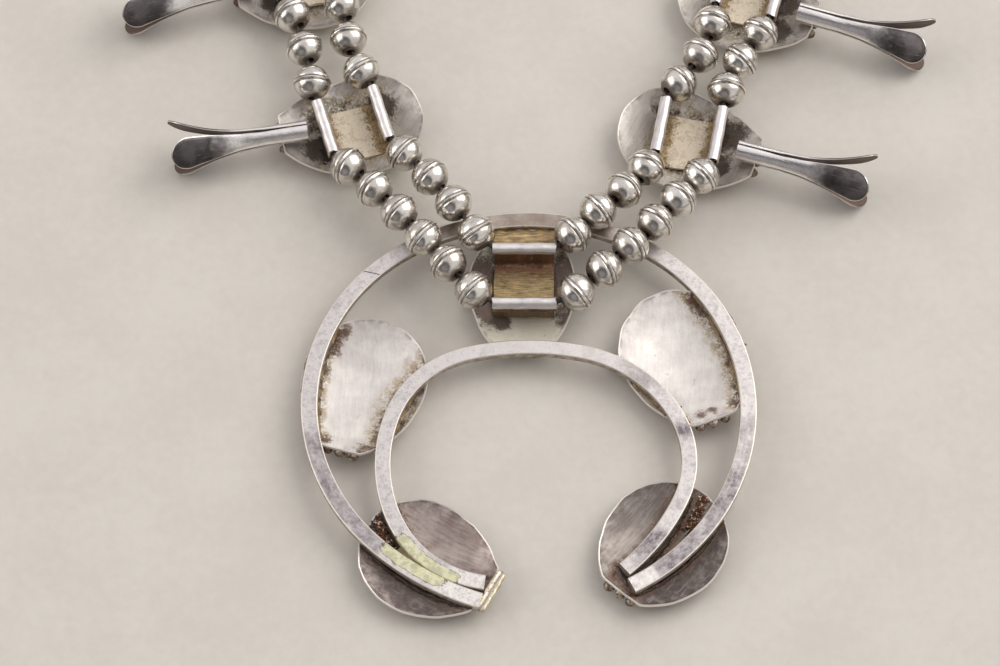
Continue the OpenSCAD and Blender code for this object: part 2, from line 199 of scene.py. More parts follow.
def wire_finish():
    """Satin lilac-grey backs, mottled and finely pitted, between bright cream bevels, darker in patches, with
    side faces and one bevel painted darker as shade.
    """
    place, close = metal("wire_silver")
    across = place.mark("across")
    along = place.mark("along")
    dark = place.mark("dark")
    cloud = place.grain(0.22, 4, 0.6)
    speck = place.grain(3.2, 4, 0.7)
    haze = place.grain(0.9, 3, 0.6)
    lean = place.mark("lean")
    top = abs(along).rise(26, 12)
    drawn = place.combine(along * 0.3, across * 1.2, lean).grain(1.0, 4, 0.65)
    uneven = (haze * 0.5 + drawn * 0.5 - 0.5) * (dark.clear() * 3.4 + 1.1) * (1 - top * 0.85)
    dull = (dark * 1.15 + (cloud - 0.5) * 1.1 + uneven).clear()
    shade = top.tint((0.18, 0.15, 0.162), (0.29, 0.225, 0.175))
    face = dull.tint((0.72, 0.68, 0.655), shade)
    pale = (dark * -1.5 + (haze - 0.5) * 2.2).clear() * (dark * -1).rise(0.02, 0.4)
    face = pale.tint(face, (0.87, 0.83, 0.78))
    face = (place.grain(1.1, 5, 0.7).rise(0.48, 0.62) * (0.5 - top * 0.4)).tint(face, (0.42, 0.38, 0.395))
    face = (speck.rise(0.55, 0.68) * 0.5).tint(face, (0.30, 0.26, 0.28))
    face = (speck.rise(0.42, 0.30) * (0.6 - top * 0.5)).tint(face, (0.84, 0.80, 0.78))
    scratch = abs(along - scratch_at + across * 0.8)
    face = (scratch.rise(0.16, 0.05) * lean.rise(-0.5, 0.5)).tint(face, (0.10, 0.08, 0.08))
    worn = abs(across).rise(0.93, 1.0) * place.grain(1.6, 2).rise(0.2, 0.45)
    side = place.mark("side")
    # The bevel with across below zero is painted darker as shade, to tone down its highlight from the key
    # light
    face = worn.tint(face, across.rise(-0.5, 0.5).tint((0.62, 0.575, 0.53), (0.77, 0.715, 0.65)))
    # Brown on the side faces is painted shade; the solder pool is marked as side all over and takes the same
    # brown as its own colour
    brown = (side * (place.grain(0.8, 4).rise(0.35, 0.7) * 0.8 + 0.25)).clear()
    face = brown.tint(face, (0.30, 0.23, 0.16))
    torn = (place.grain(0.7, 5, 0.6) - 0.5) * 1.1
    ragged = place.mark("solder") + torn - (across * lean).rise(-0.1, 0.8) * 0.8
    patch = ragged.rise(0.48, 0.52)
    outline = ragged.rise(0.38, 0.48) * ragged.rise(0.58, 0.50) * place.grain(1.3, 2).rise(0.35, 0.5)
    green = haze.rise(0.40, 0.60).tint((0.72, 0.69, 0.46), (0.54, 0.53, 0.37))
    green = (place.grain(0.8, 4, 0.6).rise(0.54, 0.64) * 0.6).tint(green, (0.78, 0.73, 0.62))
    face = patch.tint(face, green)
    face = (outline * 0.85).tint(face, (0.13, 0.10, 0.07))
    rough = 0.42 + (speck - 0.5) * 0.2 + worn * 0.05 + patch * 0.15
    height = speck * 0.02 + haze * 0.02 + place.grain(0.5, 2) * 0.05 + patch * 0.03
    return close(face, 1 - brown * 0.5 - outline * 0.6 - patch * 0.3, rough + dull * 0.08, height)


def arc_path(arcs, side, step=0.5):
    """Points along arcs laid end to end, from the top of the crescent down one side."""
    at, heading, points = np.zeros(2), 0.0, [np.zeros(2)]
    for radius, sweep in arcs:
        centre = at + radius * np.array([math.sin(heading), -math.cos(heading)])
        swings = np.linspace(0, math.radians(sweep), 1 + round(math.radians(sweep) * radius / step))
        for swing in swings[1:]:
            angle = heading - swing
            points.append(centre + radius * np.array([-math.sin(angle), math.cos(angle)]))
        at, heading = points[-1], heading - swings[-1]
    return np.array(points) * [side, 1]


def wire_path(arcs, top_y):
    """Both sides of a wire as one line, from its left end over the top to its right end."""
    whole = np.vstack([arc_path(arcs[-1], -1)[::-1], arc_path(arcs[1], 1)[1:]])
    return whole + [0, top_y]


def smooth_noise(count, wave, seed, size):
    """A wavering number for each of count points in a row, with one wave to wave points."""
    knots = np.random.default_rng(seed).normal(0, size, max(4, count // wave + 4))
    at = np.arange(count) / wave + 1
    i = at.astype(int)
    t = (1 - np.cos((at - i) * math.pi)) / 2
    return knots[i] * (1 - t) + knots[i + 1] * t


def face_outwards(mesh):
    """Turns the faces of each closed skin outwards."""
    shape = bmesh.new()
    shape.from_mesh(mesh)
    bmesh.ops.recalc_face_normals(shape, faces=shape.faces)
    shape.to_mesh(mesh)
    shape.free()


def added(name, data):
    """A new object at the origin of the scene."""
    made = bpy.data.objects.new(name, data)
    bpy.context.scene.collection.objects.link(made)
    return made


def piece(name, points, faces, material, marks=None, crease=40, edges=()):
    """An object at the origin from points in mm, measured from the middle of the bail."""
    mesh = bpy.data.meshes.new(name)
    mesh.from_pydata(((np.asarray(points) + [bail_x, bail_y, 0]) * MM).tolist(), edges, faces)
    for mark, values in (marks or {}).items():
        mesh.attributes.new(mark, "FLOAT", "POINT").data.foreach_set("value", np.asarray(values, np.float32))
    if faces:
        face_outwards(mesh)
        mesh.shade_smooth()
        mesh.set_sharp_from_angle(angle=math.radians(crease))
    if material:
        mesh.materials.append(material)
    return added(name, mesh)


def belongs(made, node):
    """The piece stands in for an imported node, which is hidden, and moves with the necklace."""
    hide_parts(node)
    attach(made, "root")


def grown(name, base, tree, values, crease=180):
    """The plain mesh that a Geometry Nodes tree grows from a base piece, which is used up."""
    modifier = base.modifiers.new(name, "NODES")
    modifier.node_group = tree
    for socket in tree.interface.items_tree:
        if socket.in_out == "INPUT" and socket.name in values:
            modifier[socket.identifier] = values[socket.name]
    evaluated = base.evaluated_get(bpy.context.evaluated_depsgraph_get())
    mesh = bpy.data.meshes.new_from_object(evaluated)
    bpy.data.objects.remove(base)
    face_outwards(mesh)
    mesh.shade_smooth()
    mesh.set_sharp_from_angle(angle=math.radians(crease))
    mesh.name = name
    return added(name, mesh)


def node_tree(name, **inputs):
    """A Geometry Nodes tree with named inputs, and the sockets that bring them in."""
    tree = bpy.data.node_groups.new(name, "GeometryNodeTree")
    tree.interface.new_socket("Geometry", in_out="INPUT", socket_type="NodeSocketGeometry")
    tree.interface.new_socket("Geometry", in_out="OUTPUT", socket_type="NodeSocketGeometry")
    for label, kind in inputs.items():
        tree.interface.new_socket(label, in_out="INPUT", socket_type="NodeSocket" + kind)
    way_in = tree.nodes.new("NodeGroupInput")
    return tree, {socket.name: Socket(tree, socket) for socket in way_in.outputs if socket.name}


def finish_tree(shape, material):
    """Ends a tree: instances become real, and the piece gets its finish."""
    real = shape.node("GeometryNodeRealizeInstances", {0: shape})
    done = real.node("GeometryNodeSetMaterial", {0: real, "Material": material})
    done.node("NodeGroupOutput", {0: done})


def roughened(shape, amount, noise, **settings):
    """Moves each point of a shape by noise, up to about half of amount."""
    away = shape.node("ShaderNodeTexNoise", noise, "Color", **settings).vector("SUBTRACT", (0.5, 0.5, 0.5))
    return shape.node("GeometryNodeSetPosition", {0: shape, "Offset": away.scaled(amount)})


def swept_tree():
    """Sweeps a section along a line and gives it the uneven surface of hand-forged metal."""
    tree, given = node_tree("swept", Section="Object", Finish="Material", Unevenness="Float", Wave="Float",
                            Seed="Float")
    start = given["Geometry"]
    line = start.node("GeometryNodeMeshToCurve", {0: start})
    line = line.node("GeometryNodeSetCurveNormal", {"Curve": line}, mode="Z_UP")
    section = start.node("GeometryNodeObjectInfo", {"Object": given["Section"]}, "Geometry")
    outline = section.node("GeometryNodeMeshToCurve", {0: section})
    body = line.node("GeometryNodeCurveToMesh", {"Curve": line, "Profile Curve": outline, "Fill Caps": True})
    body = body.node("GeometryNodeMergeByDistance", {0: body, "Distance": 0.002 * MM})
    body = roughened(body, given["Unevenness"], {"W": given["Seed"], "Scale": given["Wave"], "Detail": 2.0},
                     noise_dimensions="4D")
    finish_tree(body, given["Finish"])
    return tree


swept = swept_tree()


def line_piece(name, points, closed=False, marks=None):
    """A line of points in mm, round the middle of the bail, for a tree to sweep along."""
    count = len(points)
    edges = [(i, (i + 1) % count) for i in range(count if closed else count - 1)]
    return piece(name, points, [], None, marks, edges=edges)


def section_piece(name, points, marks=None):
    """A closed section in mm across and up, for a tree to sweep."""
    flat = np.array([(x, y, 0) for x, y in points]) - [bail_x, bail_y, 0]
    return line_piece(name, flat, True, marks)


def wire_section(width):
    """The section of a wire, from the left of its back round to the ridge and up again, with extra points."""
    side, ridge, rest = width / 2, ridge_w / 2, wire_t - wire_side
    back = [(x * (side - wire_bevel), wire_t) for x in np.linspace(-1, 1, 7)]
    right = [(side - wire_bevel * 0.25, wire_t - wire_bevel * 0.35), (side, wire_t - wire_bevel),
             (side, rest + 0.5), (side, rest)]
    under = [(ridge, 0), (-ridge, 0)]
    left = [(-x, y) for x, y in reversed(right)]
    points = back + right + under + left
    across = [max(-1, min(1, x / (side - wire_bevel))) for x, y in points]
    shade = [0 if y > wire_t - wire_bevel * 0.9 else 1 for x, y in points]
    return section_piece("wire_section", [(-x, -y) for x, y in points], {"across": across, "side": shade})


# Stretches of the wires from the middle of their tops: how much solder lies there, and how much darker the
# wires are there, less than none where they are paler
solder_marks = {"outer": [(-104, -91, 1)], "inner": [(-66, -53, 1)]}
dark_marks = {
    "outer": [(-23, -9, 0.8), (-9, 9, 0.75), (9, 16, 0.85), (-92, -64, 0.45), (62, 84, 0.3), (72, 97, 0.55),
              (-112, -103, -0.6), (97, 103, -0.5)],
    "inner": [(17, 24, 0.4), (32.5, 35.5, 0.75), (54, 62, 0.6), (-71, -64, -0.6)]}
leans = {"outer": 1.0, "inner": -1.0}

# Towards the left terminal each wire gives way to the other by this much
tip_part = 0.03


def amounts(along, stretches):
    """How strongly the stretches mark each point of a line."""
    total = np.zeros(len(along))
    for low, high, size in stretches:
        lit = np.clip((along - low) / 3 + 0.5, 0, 1) * np.clip((high - along) / 3 + 0.5, 0, 1) * size
        total = np.where(np.abs(lit) > np.abs(total), lit, total)
    return total


def to_left(path):
    """For each point of a line in the plane, the unit vector to its left."""
    ahead = np.gradient(path, axis=0)
    return np.column_stack([-ahead[:, 1], ahead[:, 0]]) / np.linalg.norm(ahead, axis=1)[:, None]


wires = {"outer": (wire_path(outer_arcs, outer_top_y), outer_wire_w, 3),
         "inner": (wire_path(inner_arcs, inner_top_y), inner_wire_w, 7)}
wire_silver = wire_finish()
for name, (path, width, seed) in wires.items():
    steps = np.linalg.norm(np.diff(path, axis=0), axis=1)
    along = np.concatenate([[0], np.cumsum(steps)])
    along -= along[np.argmin(np.abs(path[:, 0]) + np.abs(path[:, 1] - path[:, 1].max()))]
    height = np.full(len(path), wire_z) + smooth_noise(len(path), 24, seed, 0.04)
    aside = tip_part * np.clip(1.6 - (along - along[0]) / 12, 0, 1) * leans[name]
    points = np.column_stack([path + to_left(path) * aside[:, None], height])
    line = line_piece("line", points, marks={
        "along": along, "dark": amounts(along, dark_marks[name]),
        "solder": amounts(along, solder_marks[name]), "lean": np.full(len(along), leans[name])})
    section = wire_section(width)
    wire = grown(name + "_wire", line, swept, {
        "Section": section, "Finish": wire_silver, "Unevenness": wire_dents * MM, "Wave": wire_wave,
        "Seed": float(seed)}, crease=24)
    bpy.data.objects.remove(section)
    belongs(wire, "naja")


# Five shells hang under the wires. Each is a disc of thin silver sheet, dished in a block and snipped to
# narrow towards a straight cut end, and lies with its hollow side up. Fire stain and solder browned the
# hollows along the wires, where the darkest brown next to the wires is also painted contact shadow, and the
# rims are bright from wear.
crescent_shells = {
    "top_shell": (-1.1, 1, 9.75, 14.6, 4.8, -90),
    "right_shell": (27.2, -12.9, 11.3, 15.6, 4.2, -70),
    "left_shell": (-29, -18.5, 11.2, 15.4, 3.9, -106),
    "right_end_shell": (23.8, -49.5, 10.9, 13, 4.2, -130),
    "left_end_shell": (-19.2, -52.5, 10.6, 13.7, 4.2, -29)}
rim_round = 0.13


def hollow(d, r):
    """How far a dish of radius r has risen at distance d from its middle."""
    return r - np.sqrt(r * r - d * d)


def ring_noise(count, waves, seed, size):
    """A wavering number round a closed ring of points."""
    draw = np.random.default_rng(seed)
    angle = np.linspace(0, 2 * math.pi, count, endpoint=False)
    parts = [draw.normal(0, size) * np.sin(k * angle + draw.uniform(0, 2 * math.pi)) for k in range(3, waves)]
    return sum(parts) / math.sqrt(waves)


def shell_edge(r, reach, cut, count=160):
    """The outline of a shell round the middle of its round end, with the cut end towards +X."""
    side_r = (reach ** 2 + (r - cut) ** 2) / (2 * (r - cut))
    angle = np.linspace(math.pi / 2, 3 * math.pi / 2, 90)
    x = np.linspace(0, reach, 60)
    side = np.sqrt(side_r ** 2 - x ** 2) - (side_r - r)
    y = np.linspace(-cut, cut, 30)
    edge = np.vstack([np.column_stack([r * np.cos(angle), r * np.sin(angle)]), np.column_stack([x, -side]),
                      np.column_stack([np.full(len(y), reach), y]), np.column_stack([x, side])[::-1]])
    run = np.concatenate([[0], np.cumsum(np.linalg.norm(np.diff(edge, axis=0), axis=1))])
    even = np.linspace(0, run[-1], count, endpoint=False)
    return np.column_stack([np.interp(even, run, edge[:, 0]), np.interp(even, run, edge[:, 1])])


def snipped(edge, snips, seed):
    """An outline cut in straight snips, as shears leave it."""
    draw = np.random.default_rng(seed)
    corners = np.sort((np.arange(snips) + draw.uniform(-0.3, 0.3, snips)) * len(edge) / snips)
    corners = np.unique(corners.astype(int) % len(edge))
    around = np.arange(len(edge))
    at = np.concatenate([corners, [corners[0] + len(edge)]])
    back = np.where(around < corners[0], around + len(edge), around)
    x, y = (np.interp(back, at, edge[at % len(edge), i]) for i in (0, 1))
    return np.column_stack([x, y])


# The ring of a shell's skin that runs along its rim
rim_row = 18


def shell_rings(r, reach, cut, seed, snips=0):
    """Rings of points over a dished shell, from the middle of its hollow side over the rim to its belly."""
    edge = shell_edge(r, reach, cut)
    if snips:
        edge = edge * 0.5 + snipped(edge, snips, seed) * 0.5
    middle = np.array([(reach - r) / 2, 0])
    spread = edge - middle
    spread *= 1 + ring_noise(len(edge), 16, seed, 0.006)[:, None] - 0.004
    length = np.linalg.norm(spread, axis=1)
    lift = np.maximum(ring_noise(len(edge), 12, seed + 1, 0.05), -0.1)
    shares = np.concatenate([[0.02], np.linspace(0.1, 0.95, 16)])
    inner = [(share, 0) for share in shares] + [(1 - rim_round / length, 0), (1, 0.35)]
    outer = [(1, 0.7), (1 - rim_round / length, 1)] + [(share, 1) for share in shares[::-2]]
    rings = []
    for share, depth in inner + outer:
        d = length * share
        top = shell_t + hollow(d, dish_r - shell_t)
        under = hollow(d, dish_r)
        z = top + (under - top) * depth + lift * (d / length) ** 3 * (under > 0.3)
        rings.append(np.column_stack([middle + spread * np.reshape(share, (-1, 1)), np.maximum(z, 0.02)]))
    return np.array(rings)


def turn(points, axis, degrees):
    """Points turned about one axis through the origin."""
    a = math.radians(degrees)
    i, j = ((1, 2), (2, 0), (0, 1))[axis]
    p = np.array(points, float)
    turned = p.copy()
    turned[..., i] = math.cos(a) * p[..., i] - math.sin(a) * p[..., j]
    turned[..., j] = math.sin(a) * p[..., i] + math.cos(a) * p[..., j]
    return turned


def loft(rings):
    """Points and faces of a skin over closed rings of equally many points, closed at both ends."""
    rings = np.asarray(rings)
    rows, count = rings.shape[:2]
    faces = []
    for i in range(rows - 1):
        for j in range(count):
            k = (j + 1) % count
            faces.append((i * count + j, i * count + k, (i + 1) * count + k, (i + 1) * count + j))
    faces.append(tuple(range(count)))
    faces.append(tuple((rows - 1) * count + j for j in range(count)))
    return rings.reshape(-1, 3), faces


def lofts(skins):
    """Points and faces of several such skins as one."""
    points, faces = [], []
    for rings in skins:
        skin, skin_faces = loft(rings)
        first = sum(map(len, points))
        faces += [tuple(i + first for i in face) for face in skin_faces]
        points.append(skin)
    return np.vstack(points), faces


def apart(points, line):
    """From each point to each point of a line, in the plane."""
    far = points[:, None, :2] - line[None, :, :2]
    return np.sqrt((far ** 2).sum(axis=2))


def wire_distance(points, name):
    """From each point to the edge of a wire, in the plane."""
    path, width, seed = wires[name]
    return np.maximum(apart(points, path).min(axis=1) - width / 2, 0)


def beyond_outer(points):
    """1 for the points outside the outer wire, 0 for the others."""
    path = wires["outer"][0]
    nearest = apart(points, path).argmin(axis=1)
    return ((to_left(path)[nearest] * (points[:, :2] - path[nearest])).sum(axis=1) > 0).astype(float)


def spotted(points, spots):
    """How near each point lies to round spots, each given by its middle and its size."""
    return sum(np.exp(-((points[:, 0] - x) ** 2 + (points[:, 1] - y) ** 2) / size ** 2)
               for x, y, size in spots)


def shell_finish(name, pale, bloom, ochre_face, brown_face, streak_turn, streaks, rough, matt):
    """Silver sheet: pale in the hollow, with bloom towards the rim, ochre and brown stain, burnt spots, and
    painted contact shadow in the dark brown along the seams.
    """
    place, close = metal(name)
    seam, rim, burn, beyond = (place.mark(mark) for mark in ("seam", "rim", "burn", "beyond"))
    cloud = place.grain(0.17, 4, 0.55)
    haze = place.grain(0.6, 5, 0.62)
    speck = place.grain(2.4, 4, 0.72)
    fine = place.grain(7, 3, 0.7)
    brushed = place.stretch(1.6, 0.16, 0.5, streak_turn).grain(1.5, 5, 0.7)
    face = (cloud.rise(0.38, 0.62) * 0.5 + brushed.rise(0.4, 0.66) * streaks).clear().tint(pale, bloom)
    face = (rim.rise(4, 0.3) * haze.rise(0.40, 0.62) * 0.6).tint(face, bloom)
    face = (beyond * haze.rise(0.25, 0.60) * 0.7).tint(face, (0.13, 0.10, 0.10))
    face = (beyond * brushed.rise(0.53, 0.66) * 0.5).tint(face, (0.62, 0.56, 0.53))
    depth = seam / (0.35 + haze * 1.6)
    burnt = (burn + (haze - 0.5) * 1.6 + (speck - 0.5) * 0.6).rise(0.25, 0.95)
    ochre = (depth.rise(2.0, 0.5) + burnt * 0.4).clear()
    ochre = ochre * (speck * 0.6 + haze * 0.4).rise(0.42, 0.58, 0.05, 1)
    # Dark brown along the seams: partly solder stain, partly painted contact shadow
    brown = depth.rise(0.8, 0.25) * (fine * 0.4 + haze * 0.6).rise(0.48, 0.60, 0.05, 0.9)
    brown = (brown + burnt * 0.85).clear()
    face = (ochre * 0.8).tint(face, ochre_face)
    face = brown.tint(face, brown_face)
    face = (fine.rise(0.56, 0.68) * haze.rise(0.45, 0.6) * 0.4).tint(face, brown_face)
    edge = rim.rise(0.38, 0.22) * speck.rise(0.18, 0.30)
    under = rim.rise(0.9, 0.4) * haze.rise(0.4, 0.6) * 0.35
    face = under.tint(face, brown_face)
    face = edge.tint(face, (0.84, 0.79, 0.74))
    dull = ochre * 0.15 + brown * 0.25 - edge * 0.15
    height = haze * 0.05 + brushed * 0.012 + speck * 0.01 + (ochre * 0.6 + brown) * speck * 0.16
    return close(face, 1 - matt - ochre * 0.3 - brown * 0.3, rough + brushed * 0.1 + dull, height)


pale_shell = shell_finish("pale_shell_silver", (0.88, 0.85, 0.80), (0.62, 0.565, 0.555), (0.52, 0.38, 0.18),
                          (0.13, 0.065, 0.04), 0, 0.25, 0.52, 0.42)
# The top plate's raised pale and bloom colours and its mostly matt metal are painted light: they stand in for
# its bright reflection and lift the shade under the bail
top_plate = shell_finish("top_plate_silver", (0.98, 0.95, 0.83), (0.80, 0.74, 0.58), (0.42, 0.30, 0.17),
                         (0.085, 0.035, 0.03), 90, 0.35, 0.5, 0.8)
left_leaf = shell_finish("left_leaf_silver", (0.58, 0.50, 0.46), (0.23, 0.17, 0.155), (0.34, 0.25, 0.18),
                         (0.075, 0.05, 0.05), 119, 0.35, 0.48, 0.25)
right_leaf = shell_finish("right_leaf_silver", (0.42, 0.375, 0.34), (0.16, 0.13, 0.12), (0.36, 0.16, 0.075),
                          (0.075, 0.05, 0.045), 40, 0.35, 0.48, 0.25)


# For each shell: finish, width of the stain and painted contact shadow along the outer and the inner wire,
# snips, and burnt spots. Only the end shells are snipped, and they are stained where they reach past the outer
# wire.
shell_looks = {
    "top_shell": (top_plate, 0.8, 0.35, 0, [
        (-7.4, -5.6, 3.2), (-4.5, -6.9, 1.6), (-8.3, 3.5, 4), (-8.5, -1, 4), (6.9, 3.5, 4), (7, -1, 4),
        (6.6, -6.4, 2)]),
    "right_shell": (pale_shell, 1.35, 0.5, 0, [
        (30.4, -26, 0.9), (32.4, -24.9, 1), (36.3, -23.5, 1.3), (29.6, -3, 1.7), (31.4, -4.8, 1.5),
        (37, -12, 1)]),
    "left_shell": (pale_shell, 0.8, 1.7, 0, [
        (-33, -9.8, 1.6), (-35, -12.5, 1.5), (-36.5, -16.5, 1.2), (-35.5, -31, 1.2), (-28.8, -33, 1.8)]),
    "right_end_shell": (right_leaf, 0.45, 0.8, 26, [(17, -55, 2)]),
    "left_end_shell": (left_leaf, 0.9, 0.8, 24, [(-27, -46, 2.4)])}
for number, (name, (x, y, r, reach, cut, direction)) in enumerate(crescent_shells.items()):
    finish, stain_shadow_outer, stain_shadow_inner, snips, burns = shell_looks[name]
    rings = turn(shell_rings(r, reach, cut, 10 * number + 3, snips), 2, direction) + [x, y, 0]
    points, faces = loft(rings)
    seam = np.minimum(wire_distance(points, "outer") / stain_shadow_outer,
                      wire_distance(points, "inner") / stain_shadow_inner)
    shell = piece(name, points, faces, finish, {
        "seam": seam, "rim": apart(points, rings[rim_row]).min(axis=1), "burn": spotted(points, burns),
        "beyond": beyond_outer(points) * (snips > 0)}, crease=50)
    belongs(shell, "naja")


# Shot, which are drops of silver melted on charcoal, sit under the cut end of each shell, three in a row.
# Each came out a little different in size and a little flat.
shot_d = 2
shot_pitch = shot_d * 1.15
shot_in = shot_d * 0.1
shot_sunk = shot_d * 0.3
shot_flat = 0.94
shot_least = 0.86


def shot_tree():
    """Sets a flattened drop of metal at each point, each turned and sized a little differently."""
    tree, given = node_tree("shot", Finish="Material", Size="Float", Flatness="Float", Least="Float",
                            Smoothness="Int", Seed="Int")
    points = given["Geometry"].node("GeometryNodeMeshToPoints", {0: given["Geometry"]})
    drop = points.node("GeometryNodeMeshIcoSphere", {"Radius": 0.5, "Subdivisions": given["Smoothness"]})
    width = given["Size"]
    spread = points.random(given["Least"], 1.06, given["Seed"])
    scale = points.combine(width, width, width * given["Flatness"]).scaled(spread)
    turns = points.random((-0.2, -0.2, -3.1), (0.2, 0.2, 3.1), given["Seed"])
    drops = points.node("GeometryNodeInstanceOnPoints", {"Points": points, "Instance": drop,
                                                         "Rotation": turns, "Scale": scale})
    real = drops.node("GeometryNodeRealizeInstances", {0: drops})
    finish_tree(roughened(real, width * 0.25, {"Scale": 600.0, "Detail": 1.0}), given["Finish"])
    return tree


def shot_row(r, reach):
    """Where the three shot of a shell sit, round the middle of its round end, with the cut end towards +X."""
    low = hollow((r + reach) / 2, dish_r) - shot_sunk
    return np.array([(reach - shot_in, i * shot_pitch, low) for i in (-1, 0, 1)])


def shot_finish():
    """Shot browned by the torch, light brown in patches and dark in others, with darker specks."""
    place, close = metal("shot_silver")
    haze = place.grain(0.9, 4, 0.65)
    speck = place.grain(2.6, 4, 0.7)
    face = haze.rise(0.38, 0.6).tint((0.52, 0.44, 0.36), (0.16, 0.11, 0.08))
    face = (speck.rise(0.52, 0.62) * 0.8).tint(face, (0.07, 0.05, 0.04))
    return close(face, 0.85, 0.34 + speck * 0.2, haze * 0.12 + speck * 0.06)


shot = shot_tree()
shot_silver = shot_finish()


def set_shot(name, points, seed):
    """Shot at the given points, as one piece."""
    return grown(name, piece(name, points, [], None), shot, {
        "Finish": shot_silver, "Size": shot_d * MM, "Flatness": shot_flat, "Least": shot_least,
        "Smoothness": 4, "Seed": seed})


rows = [turn(shot_row(r, reach), 2, direction) + [x, y, 0]
        for x, y, r, reach, cut, direction in crescent_shells.values()]
crescent_shot = set_shot("crescent_shot", np.vstack(rows), 4)
belongs(crescent_shot, "naja")


# Solder ran along both edges of the wires where they cross a shell, and froze there in rough crumbs that went
# brown and black. Over the terminals it is painted near black as shadow. It is swept along each stretch of
# edge inside a shell's outline.
seam_r = 0.42
seam_dents = 1.1
seam_wave = 1100.0
seam_in = 0.15
seam_lift = 0.1
grain_flat = 0.8
grain_least = 0.35
rim_clear = 0.96
terminals_shadow_y = bail_y - 37, bail_y - 43


def solder_finish():
    """Crumbs of old solder: dull brown and black, ochre in places, with bright grey tips, and painted near
    black as shadow over the terminals.
    """
    place, close = metal("old_solder")
    lump = place.grain(1.1, 5, 0.7)
    cloud = place.grain(0.35, 3)
    face = cloud.rise(0.35, 0.62).tint((0.15, 0.10, 0.075), (0.36, 0.26, 0.14))
    face = lump.rise(0.52, 0.72).tint(face, (0.62, 0.56, 0.45))
    face = lump.rise(0.45, 0.30).tint(face, (0.03, 0.025, 0.02))
    # Painted shadow: near black over the terminals, below these heights
    face = (place.part(1).rise(*terminals_shadow_y) * 0.8).tint(face, (0.05, 0.038, 0.034))
    return close(face, 0.65, 0.42 + lump * 0.2, lump * 0.3)


def inside(points, outline):
    """Which points lie inside a closed outline, by the crossings of a line towards +X."""
    x, y = points[:, 0, None], points[:, 1, None]
    x1, y1 = outline[None, :, 0], outline[None, :, 1]
    x2, y2 = np.roll(x1, -1, axis=1), np.roll(y1, -1, axis=1)
    crosses = (y1 > y) != (y2 > y)
    with np.errstate(divide="ignore", invalid="ignore"):
        hit = crosses & (x < x1 + (y - y1) / (y2 - y1) * (x2 - x1))
    return hit.sum(axis=1) % 2 == 1


def dish_middle(shape):
    """The middle of the dish of a shell of the table, in the plane."""
    x, y, r, reach, cut, direction = shape
    heading = math.radians(direction)
    return np.array([x, y]) + (reach - r) / 2 * np.array([math.cos(heading), math.sin(heading)])


def laid(edge, shape):
    """An outline round the middle of a shell's round end, turned and moved to where that shell lies."""
    return turn(np.column_stack([edge, np.zeros(len(edge))]), 2, shape[5])[:, :2] + shape[:2]


def floor_at(points, middle):
    """The height of a shell's hollow side at each point."""
    return shell_t + hollow(np.linalg.norm(points[:, :2] - middle, axis=1), dish_r - shell_t)


def edge_lines(path, width, shape):
    """The stretches of both edges of a wire that lie inside a shell, as lines on the shell's hollow side."""
    middle = dish_middle(shape)
    outline = middle + (laid(shell_edge(*shape[2:5]), shape) - middle) * rim_clear
    found = []
    for edge in (-1, 1):
        line = path + edge * (width / 2 - seam_in) * to_left(path)
        within = inside(line, outline)
        starts = np.flatnonzero(np.diff(np.concatenate([[0], within.astype(int), [0]])))
        for first, last in zip(starts[::2], starts[1::2]):
            if last - first > 5:
                part = line[first:last]
                found.append(np.column_stack([part, floor_at(part, middle) + seam_lift]))
    return found


def circle_section(radius, sides=8, lobes=0, depth=0.0):
    """A round section, or one with lobes like a laid cord."""
    a = np.linspace(0, 2 * math.pi, sides, endpoint=False)
    r = radius * (1 - depth + depth * np.abs(np.cos(a * lobes / 2)))
    return section_piece("round_section", np.column_stack([r * np.cos(a), r * np.sin(a)]))


old_solder = solder_finish()
seam_section = circle_section(seam_r)
seam_lines = [line for path, width, seed in wires.values() for shape in crescent_shells.values()
              for line in edge_lines(path, width, shape)]
joined = np.vstack(seam_lines)
ends = np.cumsum([len(line) for line in seam_lines])
links = [(i, i + 1) for i in range(len(joined) - 1) if i + 1 not in ends]
line = piece("line", joined, [], None, edges=links)
seams = grown("solder_seams", line, swept, {
    "Section": seam_section, "Finish": old_solder, "Unevenness": seam_dents * MM, "Wave": seam_wave,
    "Seed": 5.0})
belongs(seams, "naja")


def crust_finish():
    """Black and rust-brown grains of borax and scale, with a few bright specks."""
    place, close = metal("crust")
    grain = place.grain(1.5, 4, 0.7)
    face = place.grain(0.5, 3).rise(0.4, 0.6).tint((0.035, 0.022, 0.018), (0.17, 0.065, 0.03))
    face = grain.rise(0.54, 0.61).tint(face, (0.85, 0.64, 0.46))
    return close(face, 0.25, 0.45 + grain * 0.2, grain * 0.1)


def scattered(line, count, spread, lift, seed):
    """Points scattered round a line in mm."""
    draw = np.random.default_rng(seed)
    line = np.asarray(line, float)
    at = draw.uniform(0, len(line) - 1, count)
    low = np.minimum(at.astype(int), len(line) - 2)
    share = (at - low)[:, None]
    points = line[low] * (1 - share) + line[low + 1] * share
    return points + draw.normal(0, 1, (count, 3)) * [spread, spread, lift]


def grains(name, points, size, finish, seed, smoothness=2):
    """Grains of one size in mm, set at the given points."""
    made = grown(name, piece(name, points, [], None), shot, {
        "Finish": finish, "Size": size * MM, "Flatness": grain_flat, "Least": grain_least,
        "Smoothness": smoothness, "Seed": seed})
    belongs(made, "naja")


def resting(points, name, lift):
    """The points that lie over a shell, brought down to its hollow side."""
    shape = crescent_shells[name]
    kept = points[inside(points, laid(shell_edge(*shape[2:5]) * rim_clear, shape))]
    kept[:, 2] = floor_at(kept, dish_middle(shape)) + lift
    return kept


crumbs = [scattered(line, int(len(line) * 0.9), 0.42, 0.08, 90 + i) for i, line in enumerate(seam_lines)]
grains("solder_crumbs", np.vstack(crumbs), 0.36, old_solder, 8, smoothness=1)
